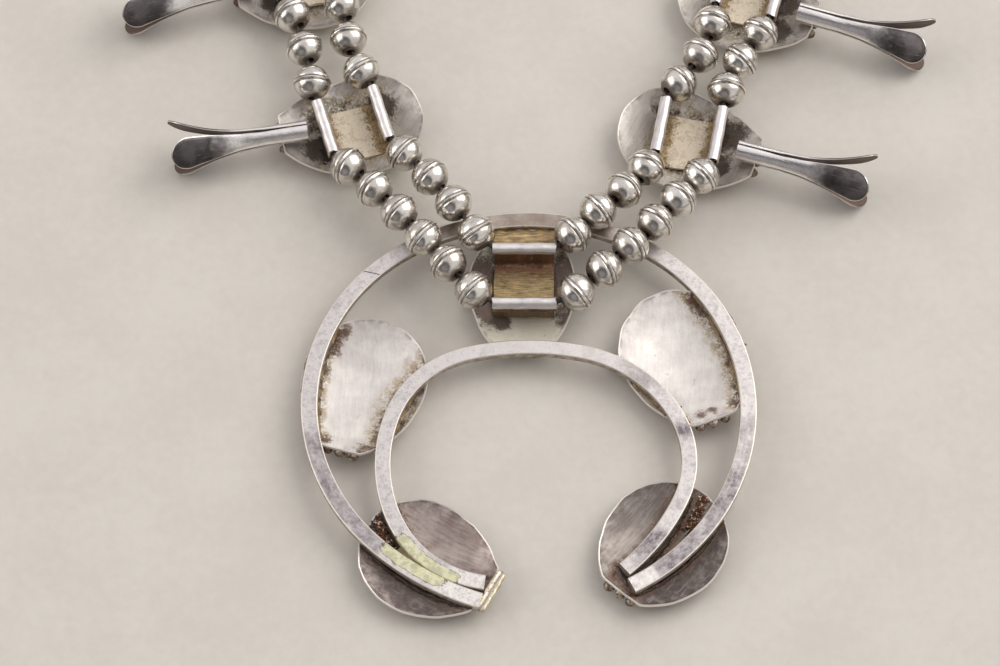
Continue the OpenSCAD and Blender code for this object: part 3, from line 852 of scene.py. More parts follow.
# The crust lies along these lines, between the wires and the rims of the end shells
left_crust_line = [(-28.2, -43.8, 0), (-26.4, -47.2, 0), (-24.7, -49.8, 0), (-23.4, -51.4, 0)]
right_crust_line = [(32.4, -38, 0), (30.9, -41.2, 0), (29.3, -44.4, 0), (27.6, -47.4, 0)]
left_crust = resting(scattered(left_crust_line, 420, 0.65, 0, 31), "left_end_shell", 0.15)
right_crust = resting(scattered(right_crust_line, 520, 0.4, 0, 32), "right_end_shell", 0.12)
grains("terminal_crust", np.vstack([left_crust, right_crust]), 0.5, crust_finish(), 9)

# At the left terminal the solder filled the gap between the wires and left a groove down its middle. The pool
# starts and stops at these points of the outer wire, and sinks over the last of them.
pool_start, pool_stop, pool_fade = 4, 38, 8
pool_in = 0.5
pool_groove = 0.55


def pool_ring(i):
    """The closed outline of the pool from a point of the outer wire to the nearest one of the inner wire."""
    outer_side, inner_path = wires["outer"][0][i], wires["inner"][0][:80]
    inner_side = inner_path[np.argmin(np.linalg.norm(inner_path - outer_side, axis=1))]
    over = (inner_side - outer_side) / np.linalg.norm(inner_side - outer_side)
    start = outer_side + over * (outer_wire_w / 2 - pool_in)
    stop = inner_side - over * (inner_wire_w / 2 - pool_in)
    v = np.linspace(0, 1, 9)
    across = start + (stop - start) * v[:, None]
    sunk = (1 - min(1, (pool_stop - i) / pool_fade)) * 1.3
    top = wire_z + wire_t - 0.22 - pool_groove * np.sin(math.pi * v) ** 2 - sunk
    under = np.full(len(v), wire_z + 0.3)
    return np.vstack([np.column_stack([across, top]), np.column_stack([across, under])[::-1]])


points, faces = loft([pool_ring(i) for i in range(pool_start, pool_stop)])
count = len(points)
solder_pool = piece("solder_pool", points, faces, wire_silver, {
    "solder": np.zeros(count), "dark": np.ones(count), "along": np.zeros(count), "across": np.zeros(count),
    "side": np.ones(count), "lean": np.ones(count)}, crease=60)
belongs(solder_pool, "naja")


# The bail is a strip of silver bent to a trough, with both edges rolled into tubes that the strands run
# through. It stands in the top shell, its floor browned by the torch and scratched from side to side.
tube_len = 11.4
tube_d = 2.1
tube_bore = 1.5
sheet_t = 0.6
strip_t = sheet_t * 0.75
sheet_len = 10.7
bail_span = 11
bail_z = 8.2
bail_mid = (-0.75, -0.7)
bail_shift = 1
bend_r = 0.9


def strip(middle, thickness):
    """The closed outline of a bent strip, from the line along its middle."""
    out = to_left(middle)
    return np.vstack([middle + out * thickness / 2, (middle - out * thickness / 2)[::-1]])


def pulled(outline, length, seed, rows=26, waver=0.06):
    """Rings of an outline across and up, pulled out along Y, with ends cut a little unevenly."""
    rings = []
    near_cut, far_cut = (ring_noise(len(outline), 9, seed + end, 0.12) for end in (0, 1))
    for i, share in enumerate(np.linspace(-0.5, 0.5, rows)):
        y = length * share + near_cut * max(0, -2 * share) + far_cut * max(0, 2 * share)
        sway = waver * math.sin(i * 0.7 + seed), waver * 0.5 * math.cos(i * 0.5 + seed)
        rings.append(np.column_stack([outline[:, 0] + sway[0], y, outline[:, 1] + sway[1]]))
    return rings


def trough_line(span, low, high):
    """The middle line of the bent strip, from below one tube down, across the floor and up to the other."""
    half, floor = span / 2, low + sheet_t / 2
    bend = np.linspace(0, math.pi / 2, 7)
    left = [(-half, z) for z in np.linspace(high - tube_d / 2 + 0.1, floor + bend_r, 8)]
    corner = [(-half + bend_r * (1 - math.cos(a)), floor + bend_r * (1 - math.sin(a))) for a in bend[1:]]
    level = [(x, floor) for x in np.linspace(-half + bend_r, 0, 9)[1:]]
    half_line = np.array(left + corner + level)
    return np.vstack([half_line, half_line[-2::-1] * [-1, 1]])


def roll_line(x, z, side):
    """The middle line of a rolled edge, from its free lip round to where it meets the strip."""
    a = np.radians(np.linspace(-62, 258, 34))
    r = (tube_d + tube_bore) / 4 * (1 + 0.04 * np.cos(2 * a + 1))
    ring = np.column_stack([x + side * r * np.cos(a), z + r * np.sin(a)])
    lip = ring[0] + np.array([[side * 0.55, -0.5], [side * 0.3, -0.25]])
    return np.vstack([lip, ring])


def trough_finish(name, cream, ochre, dark, band, scored, sheen):
    """The torch-browned floor of a trough: pale where it was rubbed, ochre and brown to its sides."""
    place, close = metal(name)
    across, along = place.mark("across"), place.mark("along")
    flat = place.combine(across * 5.3, along * 5.3, place.mark("lot"))
    streak = flat.stretch(1.6, 0.22, 1).grain(1.9, 4, 0.65)
    haze = flat.grain(0.45, 5, 0.65)
    speck = place.grain(2.4, 4, 0.7)
    side = abs(across) + (haze - 0.5) * 0.8 + (speck - 0.5) * 0.5
    face = side.rise(0.46, 0.66).tint(cream, ochre)
    face = (haze.rise(0.52, 0.7) * 0.35).tint(face, ochre)
    face = (streak.rise(0.52, 0.62) * scored).tint(face, tuple(c * 1.6 + 0.10 for c in ochre))
    face = (streak.rise(0.49, 0.38) * scored * 0.8).tint(face, dark)
    face = (speck.rise(0.50, 0.60) * side.rise(0.4, 0.7) * 0.8).tint(face, dark)
    face = (haze.rise(0.50, 0.40) * haze.rise(0.34, 0.44) * 0.5).tint(face, band)
    face = ((across + (haze - 0.5) * 0.5).rise(0.56, 0.76) * 0.8).tint(face, band)
    face = (side.rise(0.72, 0.98) * 0.85).tint(face, dark)
    face = (speck.rise(0.57, 0.68) * scored * 0.45).tint(face, dark)
    height = streak * 0.05 + haze * 0.06 + speck * 0.03
    return close(face, sheen + side.rise(0.4, 0.9) * 0.1, 0.34 + speck * 0.3, height)


def tube_finish():
    """Rolled tubes rubbed smooth and white on top, with painted shade underneath and at their lips: brown,
    then near black, by the angle from the top.
    """
    place, close = metal("tube_silver")
    around, along = place.mark("around"), place.mark("along")
    flat = place.combine(around * 3.0, along * 5.7, place.mark("lot"))
    streak = flat.stretch(1.8, 0.15, 1).grain(2.2, 4, 0.6)
    haze = flat.grain(0.5, 4, 0.6)
    low = around + (haze - 0.5) * 0.8
    face = haze.rise(0.4, 0.62).tint((0.86, 0.82, 0.785), (0.70, 0.655, 0.67))
    face = (streak.rise(0.55, 0.7) * 0.3).tint(face, (0.62, 0.57, 0.58))
    # Painted shade: brown and then near black past about 90 degrees from the top
    face = low.rise(1.5, 2.0).tint(face, (0.33, 0.23, 0.12))
    face = low.rise(2.0, 2.5).tint(face, (0.10, 0.07, 0.05))
    return close(face, 0.85 - low.rise(1.5, 2.1) * 0.3, 0.27 + streak * 0.12 + low.rise(1.3, 2.0) * 0.2,
                 streak * 0.02 + haze * 0.05)


def bridge_pieces(name, span, low, high, lot, trough_metal, place):
    """Makes a bridge's trough and tubes, moved by place(), with the marks that their finishes read."""
    points, faces = loft(pulled(strip(trough_line(span, low, high), strip_t), sheet_len, lot))
    made = [piece(name + "_trough", place(points), faces, trough_metal, {
        "across": points[:, 0] / (span / 2), "along": points[:, 1] / (sheet_len / 2),
        "lot": np.full(len(points), lot)})]
    walls = [strip(roll_line(side * span / 2, high, side), (tube_d - tube_bore) / 2) for side in (-1, 1)]
    points, faces = lofts([pulled(wall, tube_len, lot + 7 * side, waver=0.03)
                           for side, wall in zip((-1, 1), walls)])
    middle = np.where(points[:, 0] > 0, span / 2, -span / 2)
    around = np.degrees(np.arctan2(points[:, 0] - middle, points[:, 2] - high)) / 60
    made.append(piece(name + "_tubes", place(points), faces, tube_silver, {
        "around": np.abs(around), "along": points[:, 1] / (tube_len / 2), "lot": np.full(len(points), lot)}))
    return made


tube_silver = tube_finish()
bail_brown = trough_finish("bail_floor_silver", (0.42, 0.325, 0.16), (0.35, 0.23, 0.09), (0.12, 0.075, 0.045),
                           (0.52, 0.28, 0.18), 0.85, 0.45)
bail_corner = math.hypot(bail_span / 2, sheet_len / 2 + bail_shift)
bail_low = shell_t + hollow(bail_corner, dish_r - shell_t) - solder


def on_bail(points):
    return turn(points, 2, 90) + [*bail_mid, 0]


bail_lot = 21
for made in bridge_pieces("bail", bail_span, bail_low, bail_z, bail_lot, bail_brown, on_bail):
    belongs(made, "naja")

# Past the upper tube the strip goes on as a short wavy fold, out and down from the middle of that tube
fold_bends = [(0.7, -0.75), (1.5, -1.5), (2.3, -1.1), (3.1, -2.1), (3.7, -2.0), (4.6, -3.2), (5.75, -4.2)]
fold_len = 6
fold_lot = 33
bends = np.arange(len(fold_bends))
at = np.linspace(0, bends[-1], 31)
fold = np.column_stack([np.interp(at, bends, column) for column in zip(*fold_bends)])
fold = fold + [bail_span / 2, bail_z]
points, faces = loft(pulled(strip(fold, strip_t), sheet_len, fold_lot, rows=40, waver=0.12))
made = piece("bail_fold", on_bail(points), faces, bail_brown, {
    "across": (points[:, 0] - bail_span / 2 - fold_len / 2) / fold_len,
    "along": points[:, 1] / (sheet_len / 2), "lot": np.full(len(points), fold_lot)})
belongs(made, "naja")


# The tab is a strip of silver folded double, which left a groove along its back. It is soldered across the tip
# of the left terminal, and the heat turned it cream-yellow.
tab_size = (8.4, 1.9, 1.3)
tab_top = 4.6
tab_out = 0.6
tab_groove = 0.28


def tab_rings():
    """Rings along the tab: a rounded bar with a groove along its back and soft ends."""
    length, width, thick = tab_size
    a = np.linspace(0, 2 * math.pi, 28, endpoint=False)
    x = np.sign(np.cos(a)) * np.abs(np.cos(a)) ** 0.5 * width / 2
    z = np.sign(np.sin(a)) * np.abs(np.sin(a)) ** 0.5 * thick / 2
    z -= tab_groove * np.exp(-(x / 0.22) ** 2) * (np.sin(a) > 0)
    rings = []
    for i, share in enumerate(np.linspace(-1, 1, 34)):
        full = (1 - abs(share) ** 9) ** 0.5 * 0.97 + 0.03
        bulge = 1 + 0.06 * math.sin(i * 0.9) + 0.05 * math.sin(i * 0.37 + 1)
        rings.append(np.column_stack([x * full * bulge, np.full(len(a), share * length / 2), z * full]))
    return rings


def tab_finish():
    """Cream-yellow silver with dark flecks and a lilac groove."""
    place, close = metal("tab_silver")
    haze = place.grain(0.7, 4, 0.6)
    groove = place.mark("groove") + (haze - 0.5) * 0.4
    face = haze.rise(0.4, 0.65).tint((0.80, 0.73, 0.54), (0.60, 0.52, 0.36))
    face = groove.rise(0.5, 0.2).tint(face, (0.45, 0.38, 0.38))
    face = (place.grain(2.5, 3).rise(0.58, 0.66) * 0.7).tint(face, (0.15, 0.10, 0.06))
    return close(face, 0.9, 0.38, haze * 0.08 + place.grain(2.2, 3) * 0.04)


x, y, r, reach, cut, direction = crescent_shells["left_end_shell"]
points, faces = loft(tab_rings())
groove = np.abs(points[:, 0]) / 0.6 + (points[:, 2] < 0)
placed = turn(points + [reach + tab_out, 0, tab_top - tab_size[2] / 2], 2, direction) + [x, y, 0]
tab = piece("terminal_tab", placed, faces, tab_finish(), {"groove": groove}, crease=60)
belongs(tab, "naja")


# Each blossom is a shell of its own with a bridge for the two strands and three petals. The petals are strips
# with channelled stems, soldered together round one axis and spread towards their spoon-shaped ends.
blossom_r = 10.4
blossom_reach = 16.4
blossom_cut = 4
bridge_span = 10.6
bridge_z = 7.5
petal_len = 25
petal_t = 0.5
stem_r = 1.9
channel_len = 10
petal_end_w = 6
petal_flare = 3.6
petal_z = 6.2
petal_start = 8
petal_rolls = (45, -70, 170)
petal_columns = 17
plug_start = 1.2
plug_len = 4.2
burn_r = math.sqrt(7)

# From the bail to the clasp, for each blossom: x and y of its middle, direction of the strands there, turn
# and shift of its shell, shift of its petals along the strands, their turn, and their shift outwards
blossoms = {
    "blossom_left": [(-32.1, 31.8, 107, -5, 1.2, 0, -7.5, 0.6), (-42.2, 65.2, 103, -2, -0.7, -1, 0, 2),
                     (-47.5, 98.4, 95, 0, 0, 0, -3, 0), (-49.5, 131.9, 92, 0, 0, 0, -3, 0),
                     (-50.7, 165.5, 94, 0, 0, 0, -3, 0)],
    "blossom_right": [(29.7, 29.8, 79, -9, 0, -0.9, -5.4, 1.3), (42, 61, 74, -4, -1.5, -2, -2, 2),
                      (48.1, 94, 85, 0, 0, 0, 3, 0), (50.2, 127.6, 88, 0, 0, 0, 3, 0),
                      (50.8, 161.2, 87, 0, 0, 0, 3, 0)]}


def petal_rings(seed):
    """Rings across a petal from stem to tip, a curved strip with its outer face up, and their places."""
    draw = np.random.default_rng(seed)
    tip = petal_len - petal_end_w / 2
    u = np.concatenate([np.linspace(0, tip, 40), tip + petal_end_w / 2 * np.sin(np.linspace(0.1, 1.54, 12))])
    half = np.interp(u, [0, 5, 9, 12, 15, 18, tip], [1.75, 1.7, 1.55, 1.65, 2.0, 2.45, petal_end_w / 2])
    spoon = petal_end_w / 2 * np.sqrt(np.maximum(1 - ((u - tip) / (petal_end_w / 2)) ** 2, 0))
    half = np.where(u > tip, spoon, half)
    bow = np.interp(u, [0, 8, 13, 18, petal_len], [stem_r, stem_r, 3.6, 8, 16 + draw.uniform(-3, 6)])
    bend_len = petal_len - channel_len
    curl = bend_len ** 2 / (2 * petal_flare)
    rise_at = stem_r + np.maximum(u - channel_len, 0) ** 2 / (2 * curl)
    slope = np.maximum(u - channel_len, 0) / curl
    v = np.linspace(-1, 1, petal_columns)
    soft = np.sqrt(np.maximum(1 - np.abs(v) ** 12, 0))[:, None]
    rings = []
    for i in range(len(u)):
        thick = petal_t * (1 if half[i] > 0.3 else 0.5)
        a = v * half[i] / bow[i]
        outer = np.column_stack([
            np.full(len(v), u[i]), bow[i] * np.sin(a), rise_at[i] - bow[i] * (1 - np.cos(a))])
        normal = np.column_stack([np.full(len(v), -slope[i]), np.sin(a), np.cos(a)])
        normal /= np.linalg.norm(normal, axis=1)[:, None]
        body = outer - normal * thick / 2
        top = body + normal * thick / 2 * (0.25 + 0.75 * soft)
        under = body - normal * thick / 2 * (0.25 + 0.75 * soft)
        rings.append(np.vstack([top, under[::-1]]))
    return rings, u


def plug_rings(seed):
    """Rings along the lump of solder that fills the space between the three stems near their ends."""
    rings = []
    for i, share in enumerate(np.linspace(0, 1, 14)):
        a = np.linspace(0, 2 * math.pi, 20, endpoint=False)
        r = (stem_r - petal_t * 0.7) * math.sin(math.pi * (0.04 + 0.92 * share)) ** 0.35
        r = r * (1 + ring_noise(len(a), 8, seed + i, 0.1))
        out = plug_start + plug_len * share
        rings.append(np.column_stack([np.full(len(a), out), r * np.cos(a), r * np.sin(a)]))
    return rings


def petal_finish():
    """Petals polished white at the root, greyer and darker towards the spoon, finely scratched lengthwise,
    with painted shade darkening their undersides.
    """
    place, close = metal("petal_silver")
    run, across = place.mark("run"), place.mark("across")
    flat = place.combine(across * 3.0, run * 25.0, place.mark("lot"))
    streak = flat.stretch(1.7, 0.14, 1).grain(2.0, 4, 0.6)
    haze = flat.grain(0.3, 4, 0.6)
    spoon = (run + (haze - 0.5) * 0.3).rise(0.50, 0.72)
    face = haze.rise(0.35, 0.65).tint((0.98, 0.95, 0.92), (0.87, 0.83, 0.82))
    face = (spoon * 0.97).tint(face, haze.rise(0.4, 0.62).tint((0.04, 0.035, 0.034), (0.10, 0.088, 0.09)))
    face = (streak.rise(0.56, 0.7) * 0.4).tint(face, (0.35, 0.30, 0.30))
    edge = abs(across).rise(0.92, 1.0)
    face = edge.tint(face, (0.95, 0.92, 0.88))
    # Painted shade: the under face of each petal is dark brown
    inner = place.mark("inner")
    face = (inner * (0.55 + haze * 0.5)).clear().tint(face, (0.13, 0.085, 0.065))
    return close(face, 1 - inner * 0.3, 0.2 + streak * 0.12 + spoon * 0.08 + inner * 0.2 - edge * 0.05,
                 streak * 0.02 + haze * 0.08)


petal_silver = petal_finish()
blossom_shell = shell_finish("blossom_shell_silver", (0.80, 0.77, 0.72), (0.50, 0.45, 0.42),
                             (0.50, 0.38, 0.19), (0.07, 0.05, 0.04), 30, 0.3, 0.42, 0.15)
bridge_cream = trough_finish("bridge_floor_silver", (0.95, 0.84, 0.66), (0.42, 0.29, 0.13),
                             (0.12, 0.08, 0.055), (0.46, 0.32, 0.18), 0.12, 0.1)
bridge_low = shell_t + hollow(math.hypot(bridge_span / 2, sheet_len / 2), dish_r - shell_t) - solder


def blossom_pieces(node, side, row, seed):
    """All the pieces of one blossom, in place."""
    x, y, heading, shell_turn, shell_shift, petal_shift, petal_turn, petal_out = row

    def place(points):
        return turn(points, 2, heading - 90 * side) + [x, y, 0]

    middle = np.array([(blossom_reach - blossom_r) / 2, 0, 0])

    def on_shell(points):
        return place(turn(points - middle, 2, shell_turn) + [0, side * shell_shift, 0])

    rings = shell_rings(blossom_r, blossom_reach, blossom_cut, seed)
    points, faces = loft(rings)
    seam = np.maximum(np.abs(points[:, 0] - middle[0]) - bridge_span / 2,
                      np.abs(points[:, 1]) - sheet_len / 2)
    draw = np.random.default_rng(seed)
    spots = np.vstack([draw.uniform((-6, -8), (12, 8), (6, 2)), [(9.5, 3.4), (9.5, -3.4)]])
    burn = spotted(points, [(*spot, burn_r) for spot in spots])
    yield piece(node + "_shell", on_shell(points), faces, blossom_shell, {
        "seam": np.abs(seam) * 0.6, "rim": apart(points, rings[rim_row]).min(axis=1),
        "burn": burn * 0.8}, crease=50)
    yield set_shot(node + "_shot", on_shell(shot_row(blossom_r, blossom_reach)), seed)
    yield from bridge_pieces(node, bridge_span, bridge_low, bridge_z, seed, bridge_cream, place)

    def on_stem(points):
        out = turn(points + np.array([petal_start + petal_out, 0, 0]), 2, petal_turn)
        return place(out + [0, side * petal_shift, petal_z])

    skins, marks = [], {"run": [], "across": [], "inner": [], "lot": []}
    for number, roll in enumerate(petal_rolls):
        rings, u = petal_rings(seed + number)
        skins.append(turn(rings, 0, roll * side))
        count = len(rings[0])
        v = np.linspace(-1, 1, count // 2)
        marks["run"] += list(np.repeat(u / petal_len, count))
        marks["across"] += list(np.concatenate([v, v[::-1]])) * len(u)
        marks["inner"] += ([0] * (count // 2) + [1] * (count // 2)) * len(u)
        marks["lot"] += [seed * 3 + number * 7] * (count * len(u))
    points, faces = lofts(skins)
    yield piece(node + "_petals", on_stem(points), faces, petal_silver, marks, crease=50)
    points, faces = loft(plug_rings(seed * 5))
    yield piece(node + "_plug", on_stem(points), faces, old_solder, crease=70)


for group, side in (("blossom_left", -1), ("blossom_right", 1)):
    for number, row in enumerate(blossoms[group]):
        node = f"{group}_{number + 1}"
        for made in blossom_pieces(node, side, row, 40 + 10 * number + side):
            belongs(made, node)


# The beads are two domes punched from thin silver and soldered rim to rim, then drilled and filed, which
# leaves a seam round each. No two came out alike. Each is set on the place and line of its packed bead.
bead_d = 6.88
bead_len = 6.6
bead_bore = 1.7
bead_seam = 0.17
bead_dents = 0.05
bead_tilt = 0.2


def bead_places(node):
    """The middle and the direction of the bore of each bead of a packed strand, in metres."""
    shape = bmesh.new()
    shape.from_mesh(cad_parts[node].data)
    bmesh.ops.remove_doubles(shape, verts=shape.verts, dist=0.0005 * MM)
    shape.verts.ensure_lookup_table()
    seen, found = set(), []
    for first in shape.verts:
        if first in seen:
            continue
        island, stack = [], [first]
        seen.add(first)
        while stack:
            vert = stack.pop()
            island.append(vert.co[:])
            for edge in vert.link_edges:
                other = edge.other_vert(vert)
                if other not in seen:
                    seen.add(other)
                    stack.append(other)
        points = np.array(island)
        middle = (points.min(axis=0) + points.max(axis=0)) / 2
        far = np.linalg.norm(points - middle, axis=1)
        seam = points[far > far.max() - 0.02 * MM]
        middle = seam.mean(axis=0)
        found.append((middle, np.linalg.svd(seam - middle)[2][2]))
    shape.free()
    return found


def bead_tree():
    """Turns a grid into a bead of two domes with a bore, and sets one on each point along its axis."""
    tree, given = node_tree("beads", Finish="Material", Diameter="Float", Length="Float", Bore="Float",
                            Seam="Float", Dents="Float", Tilt="Float", Seed="Int")
    start = given["Geometry"]
    around, rows = 36, 35
    grid = start.node("GeometryNodeMeshGrid", {"Size X": 1.0, "Size Y": 1.0, "Vertices X": around + 1,
                                               "Vertices Y": rows})
    spot = grid.node("GeometryNodeInputPosition")
    x, y = spot.part(0), spot.part(1)
    dome = given["Length"] * 0.5
    off = given["Diameter"] * 0.5 - dome
    hole = given["Bore"] * 0.5
    widest = ((hole - off) / dome).math("ARCCOSINE", (hole - off) / dome)
    outer_share = 0.88
    # From -1 to 1 over the outside of the bead, and on to the end of its bore
    s = (y + 0.5) / outer_share * 2 - 1
    outside = s.math("LESS_THAN", s, 1.0001)
    skin = s.math("MINIMUM", s, 1.0)
    polar = widest * (skin * 0.45 + skin * skin * skin * 0.55)
    ring = polar.math("COSINE", polar) * dome + off
    height = polar.math("SINE", polar) * dome
    from_seam = (height * height) / (0.2 * MM) ** 2
    ridge = given["Seam"] * 2.718 ** (from_seam * -1)
    beside = abs(height) - 0.42 * MM
    beside = beside * beside / (0.16 * MM) ** 2
    ridge = ridge - given["Seam"] * 0.6 * 2.718 ** (beside * -1)
    top = widest.math("SINE", widest) * dome
    inside = (s - 1) / (2 / outer_share - 2)
    wall = top * (1 - inside * 2)
    r = outside * (ring + ridge) + (1 - outside) * hole
    z = outside * height + (1 - outside) * wall
    a = x * 2 * math.pi
    shape = grid.node("GeometryNodeStoreNamedAttribute", {0: grid, "Name": "height", "Value": z / MM},
                      data_type="FLOAT", domain="POINT")
    place = shape.combine(r * a.math("COSINE", a), r * a.math("SINE", a), z)
    shape = shape.node("GeometryNodeSetPosition", {0: shape, 2: place})
    shape = shape.node("GeometryNodeMergeByDistance", {0: shape, "Distance": 0.002 * MM})
    axis = start.node("GeometryNodeInputNamedAttribute", {"Name": "axis"}, data_type="FLOAT_VECTOR")
    axis = axis.vector("ADD", start.random((-1, -1, -1), (1, 1, 1), given["Seed"]).scaled(given["Tilt"]))
    aim = axis.node("FunctionNodeAlignRotationToVector", {"Vector": axis}, axis="Z")
    spin = start.combine(0.0, 0.0, start.random(0.0, 6.28, given["Seed"]))
    aim = aim.node("FunctionNodeRotateRotation", {0: aim, 1: spin}, rotation_space="LOCAL")
    size = start.random((0.985, 0.985, 0.985), (1.0, 1.0, 1.0), given["Seed"])
    points = start.node("GeometryNodeMeshToPoints", {0: start})
    beads = points.node("GeometryNodeInstanceOnPoints", {"Points": points, "Instance": shape,
                                                         "Rotation": aim, "Scale": size})
    lot = start.random(0.0, 1.0, given["Seed"])
    beads = beads.node("GeometryNodeStoreNamedAttribute", {0: beads, "Name": "lot", "Value": lot},
                       data_type="FLOAT", domain="INSTANCE")
    real = beads.node("GeometryNodeRealizeInstances", {0: beads})
    finish_tree(roughened(real, given["Dents"], {"Scale": 160.0, "Detail": 0.0}), given["Finish"])
    return tree


def bead_finish():
    """Warm grey silver with fine scratches round each bead, browned beside the seam and by the holes."""
    place, close = metal("bead_silver")
    height, lot = place.mark("height"), place.mark("lot")
    haze = place.grain(0.35, 4, 0.6)
    speck = place.grain(2.2, 4, 0.7)
    filed = place.combine(height * 4.0, place.grain(0.6, 2), lot * 40).grain(1.2, 4, 0.65)
    from_seam = abs(height)
    face = haze.rise(0.35, 0.65).tint((0.86, 0.83, 0.78), (0.70, 0.66, 0.61))
    face = (lot * 0.4).tint(face, (0.62, 0.57, 0.51))
    groove = abs(from_seam - 0.4).rise(0.24, 0.06)
    hole = (from_seam + (haze - 0.5) * 0.8).rise(2.3, 3.1)
    film = (haze * 0.5 + filed * 0.5).rise(0.5, 0.62) * 0.35
    dark = (groove * speck.rise(0.3, 0.6, 0.3, 1) * 0.9 + hole * 0.75 + film).clear()
    face = dark.tint(face, (0.12, 0.085, 0.06))
    face = from_seam.rise(0.22, 0.1).tint(face, (0.95, 0.92, 0.87))
    return close(face, 1 - dark * 0.3, 0.17 + filed * 0.1 + dark * 0.2, filed * 0.002 + haze * 0.01)


beaded = bead_tree()
bead_silver = bead_finish()
strands = {}
bead_nodes = ["inner_beads_left", "inner_beads_right", "outer_beads_left", "outer_beads_right"]
for number, node in enumerate(bead_nodes):
    strands[node] = bead_places(node)
    mesh = bpy.data.meshes.new(node)
    mesh.from_pydata([middle for middle, axis in strands[node]], [], [])
    axes = np.array([axis for middle, axis in strands[node]], np.float32)
    mesh.attributes.new("axis", "FLOAT_VECTOR", "POINT").data.foreach_set("vector", axes.ravel())
    beads = grown(node + "_dressed", added(node, mesh), beaded, {
        "Finish": bead_silver, "Diameter": bead_d * MM, "Length": bead_len * MM, "Bore": bead_bore * MM,
        "Seam": bead_seam * MM, "Dents": bead_dents * MM, "Tilt": bead_tilt, "Seed": 60 + number}, crease=50)
    belongs(beads, node)


# The threads are laid cotton cords, painted near black as the shade between the beads. Each runs through the
# beads and tubes of its strand from collar to collar of the clasp, and shows only between beads.
thread_d = 0.9
thread_step = 0.5
thread_twist = 2200.0
thread_reach = 7.2
collar_span = 7.4


def thread_tree():
    """Sweeps a lobed section along a line and twists it as a cord is laid."""
    tree, given = node_tree("laid_cord", Section="Object", Finish="Material", Step="Float", Twist="Float")
    start = given["Geometry"]
    line = start.node("GeometryNodeMeshToCurve", {0: start})
    line = line.node("GeometryNodeResampleCurve", {"Curve": line, "Length": given["Step"]}, mode="LENGTH")
    run = line.node("GeometryNodeSplineParameter", output="Length")
    line = line.node("GeometryNodeSetCurveTilt", {0: line, "Tilt": run * given["Twist"]})
    section = start.node("GeometryNodeObjectInfo", {"Object": given["Section"]}, "Geometry")
    outline = section.node("GeometryNodeMeshToCurve", {0: section})
    body = line.node("GeometryNodeCurveToMesh", {"Curve": line, "Profile Curve": outline, "Fill Caps": True})
    finish_tree(body, given["Finish"])
    return tree


def thread_finish():
    """Cotton with fine fibres, painted near black as the shade between the beads."""
    place, close = metal("waxed_cotton")
    fibre = place.grain(6, 4, 0.7)
    # Near black, as painted shade between the beads
    face = fibre.rise(0.35, 0.65).tint((0.035, 0.03, 0.025), (0.12, 0.10, 0.08))
    return close(face, 0.0, 0.75 + fibre * 0.1, fibre * 0.05)


def in_order(places, start):
    """Places sorted so that each is followed by the one nearest to it."""
    left, line = list(places), [np.array(start)]
    while left:
        nearest = min(left, key=lambda p: np.linalg.norm(p - line[-1]))
        left = [p for p in left if p is not nearest]
        line.append(nearest)
    return line[1:]


def tube_line(x, y, heading, span, z):
    """Points down the middle of a tube, span/2 to the side of the middle of its bridge, in metres."""
    ahead = np.array([math.cos(math.radians(heading)), math.sin(math.radians(heading))])
    middle = np.array([x + bail_x, y + bail_y]) + np.array([-ahead[1], ahead[0]]) * span / 2
    return [np.array([*(middle + ahead * tube_len * share), z]) * MM for share in (-0.45, -0.15, 0.15, 0.45)]


laid_cord = thread_tree()
waxed_cotton = thread_finish()
lobed = circle_section(thread_d / 2, sides=12, lobes=3, depth=0.22)
clasp_y, clasp_z = (clasp_low.y + clasp_high.y) / 2, (clasp_low.z + clasp_high.z) / 2
for strand, hand in (("inner", 1), ("outer", -1)):
    line = []
    for side_name, side in (("left", -1), ("right", 1)):
        places = [middle for middle, axis in strands[f"{strand}_beads_{side_name}"]]
        for x, y, heading, *rest in blossoms["blossom_" + side_name]:
            places += tube_line(x, y, heading, bridge_span * side * hand, bridge_z)
        bail_end = np.array([bail_x + bail_mid[0], bail_y + bail_mid[1] + hand * bail_span / 2, bail_z]) * MM
        places += [bail_end + [side * tube_len * share * MM, 0, 0] for share in (0.15, 0.48)]
        ordered = in_order(places, bail_end)
        last = np.array([side * thread_reach * MM, clasp_y - hand * collar_span / 2 * MM, clasp_z])
        line = [last, *reversed(ordered), bail_end] if side < 0 else [*line, *ordered, last]
    mesh = bpy.data.meshes.new(strand)
    mesh.from_pydata(line, [(i, i + 1) for i in range(len(line) - 1)], [])
    thread = grown(strand + "_thread_dressed", added(strand, mesh), laid_cord, {
        "Section": lobed, "Finish": waxed_cotton, "Step": thread_step * MM, "Twist": thread_twist})
    belongs(thread, strand + "_thread")
bpy.data.objects.remove(lobed)
bpy.data.objects.remove(seam_section)


# The clasp is hidden behind the neck in the photo. It is one plain flat bar of silver with four collars, which
# hold the ends of the two threads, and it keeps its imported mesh.
def clasp_finish():
    """Plain silver, rubbed dull, with scratches along the bar."""
    place, close = metal("clasp_silver")
    streak = place.stretch(0.1, 1.6, 1.6).grain(2.0, 4, 0.6)
    haze = place.grain(0.3, 4, 0.6)
    face = haze.rise(0.35, 0.65).tint((0.80, 0.76, 0.70), (0.62, 0.57, 0.52))
    face = (streak.rise(0.55, 0.7) * 0.5).tint(face, (0.35, 0.30, 0.26))
    return close(face, 1.0, 0.3 + streak * 0.15, streak * 0.03 + haze * 0.05)


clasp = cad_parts["clasp"]
clasp.data.materials.clear()
clasp.data.materials.append(clasp_finish())


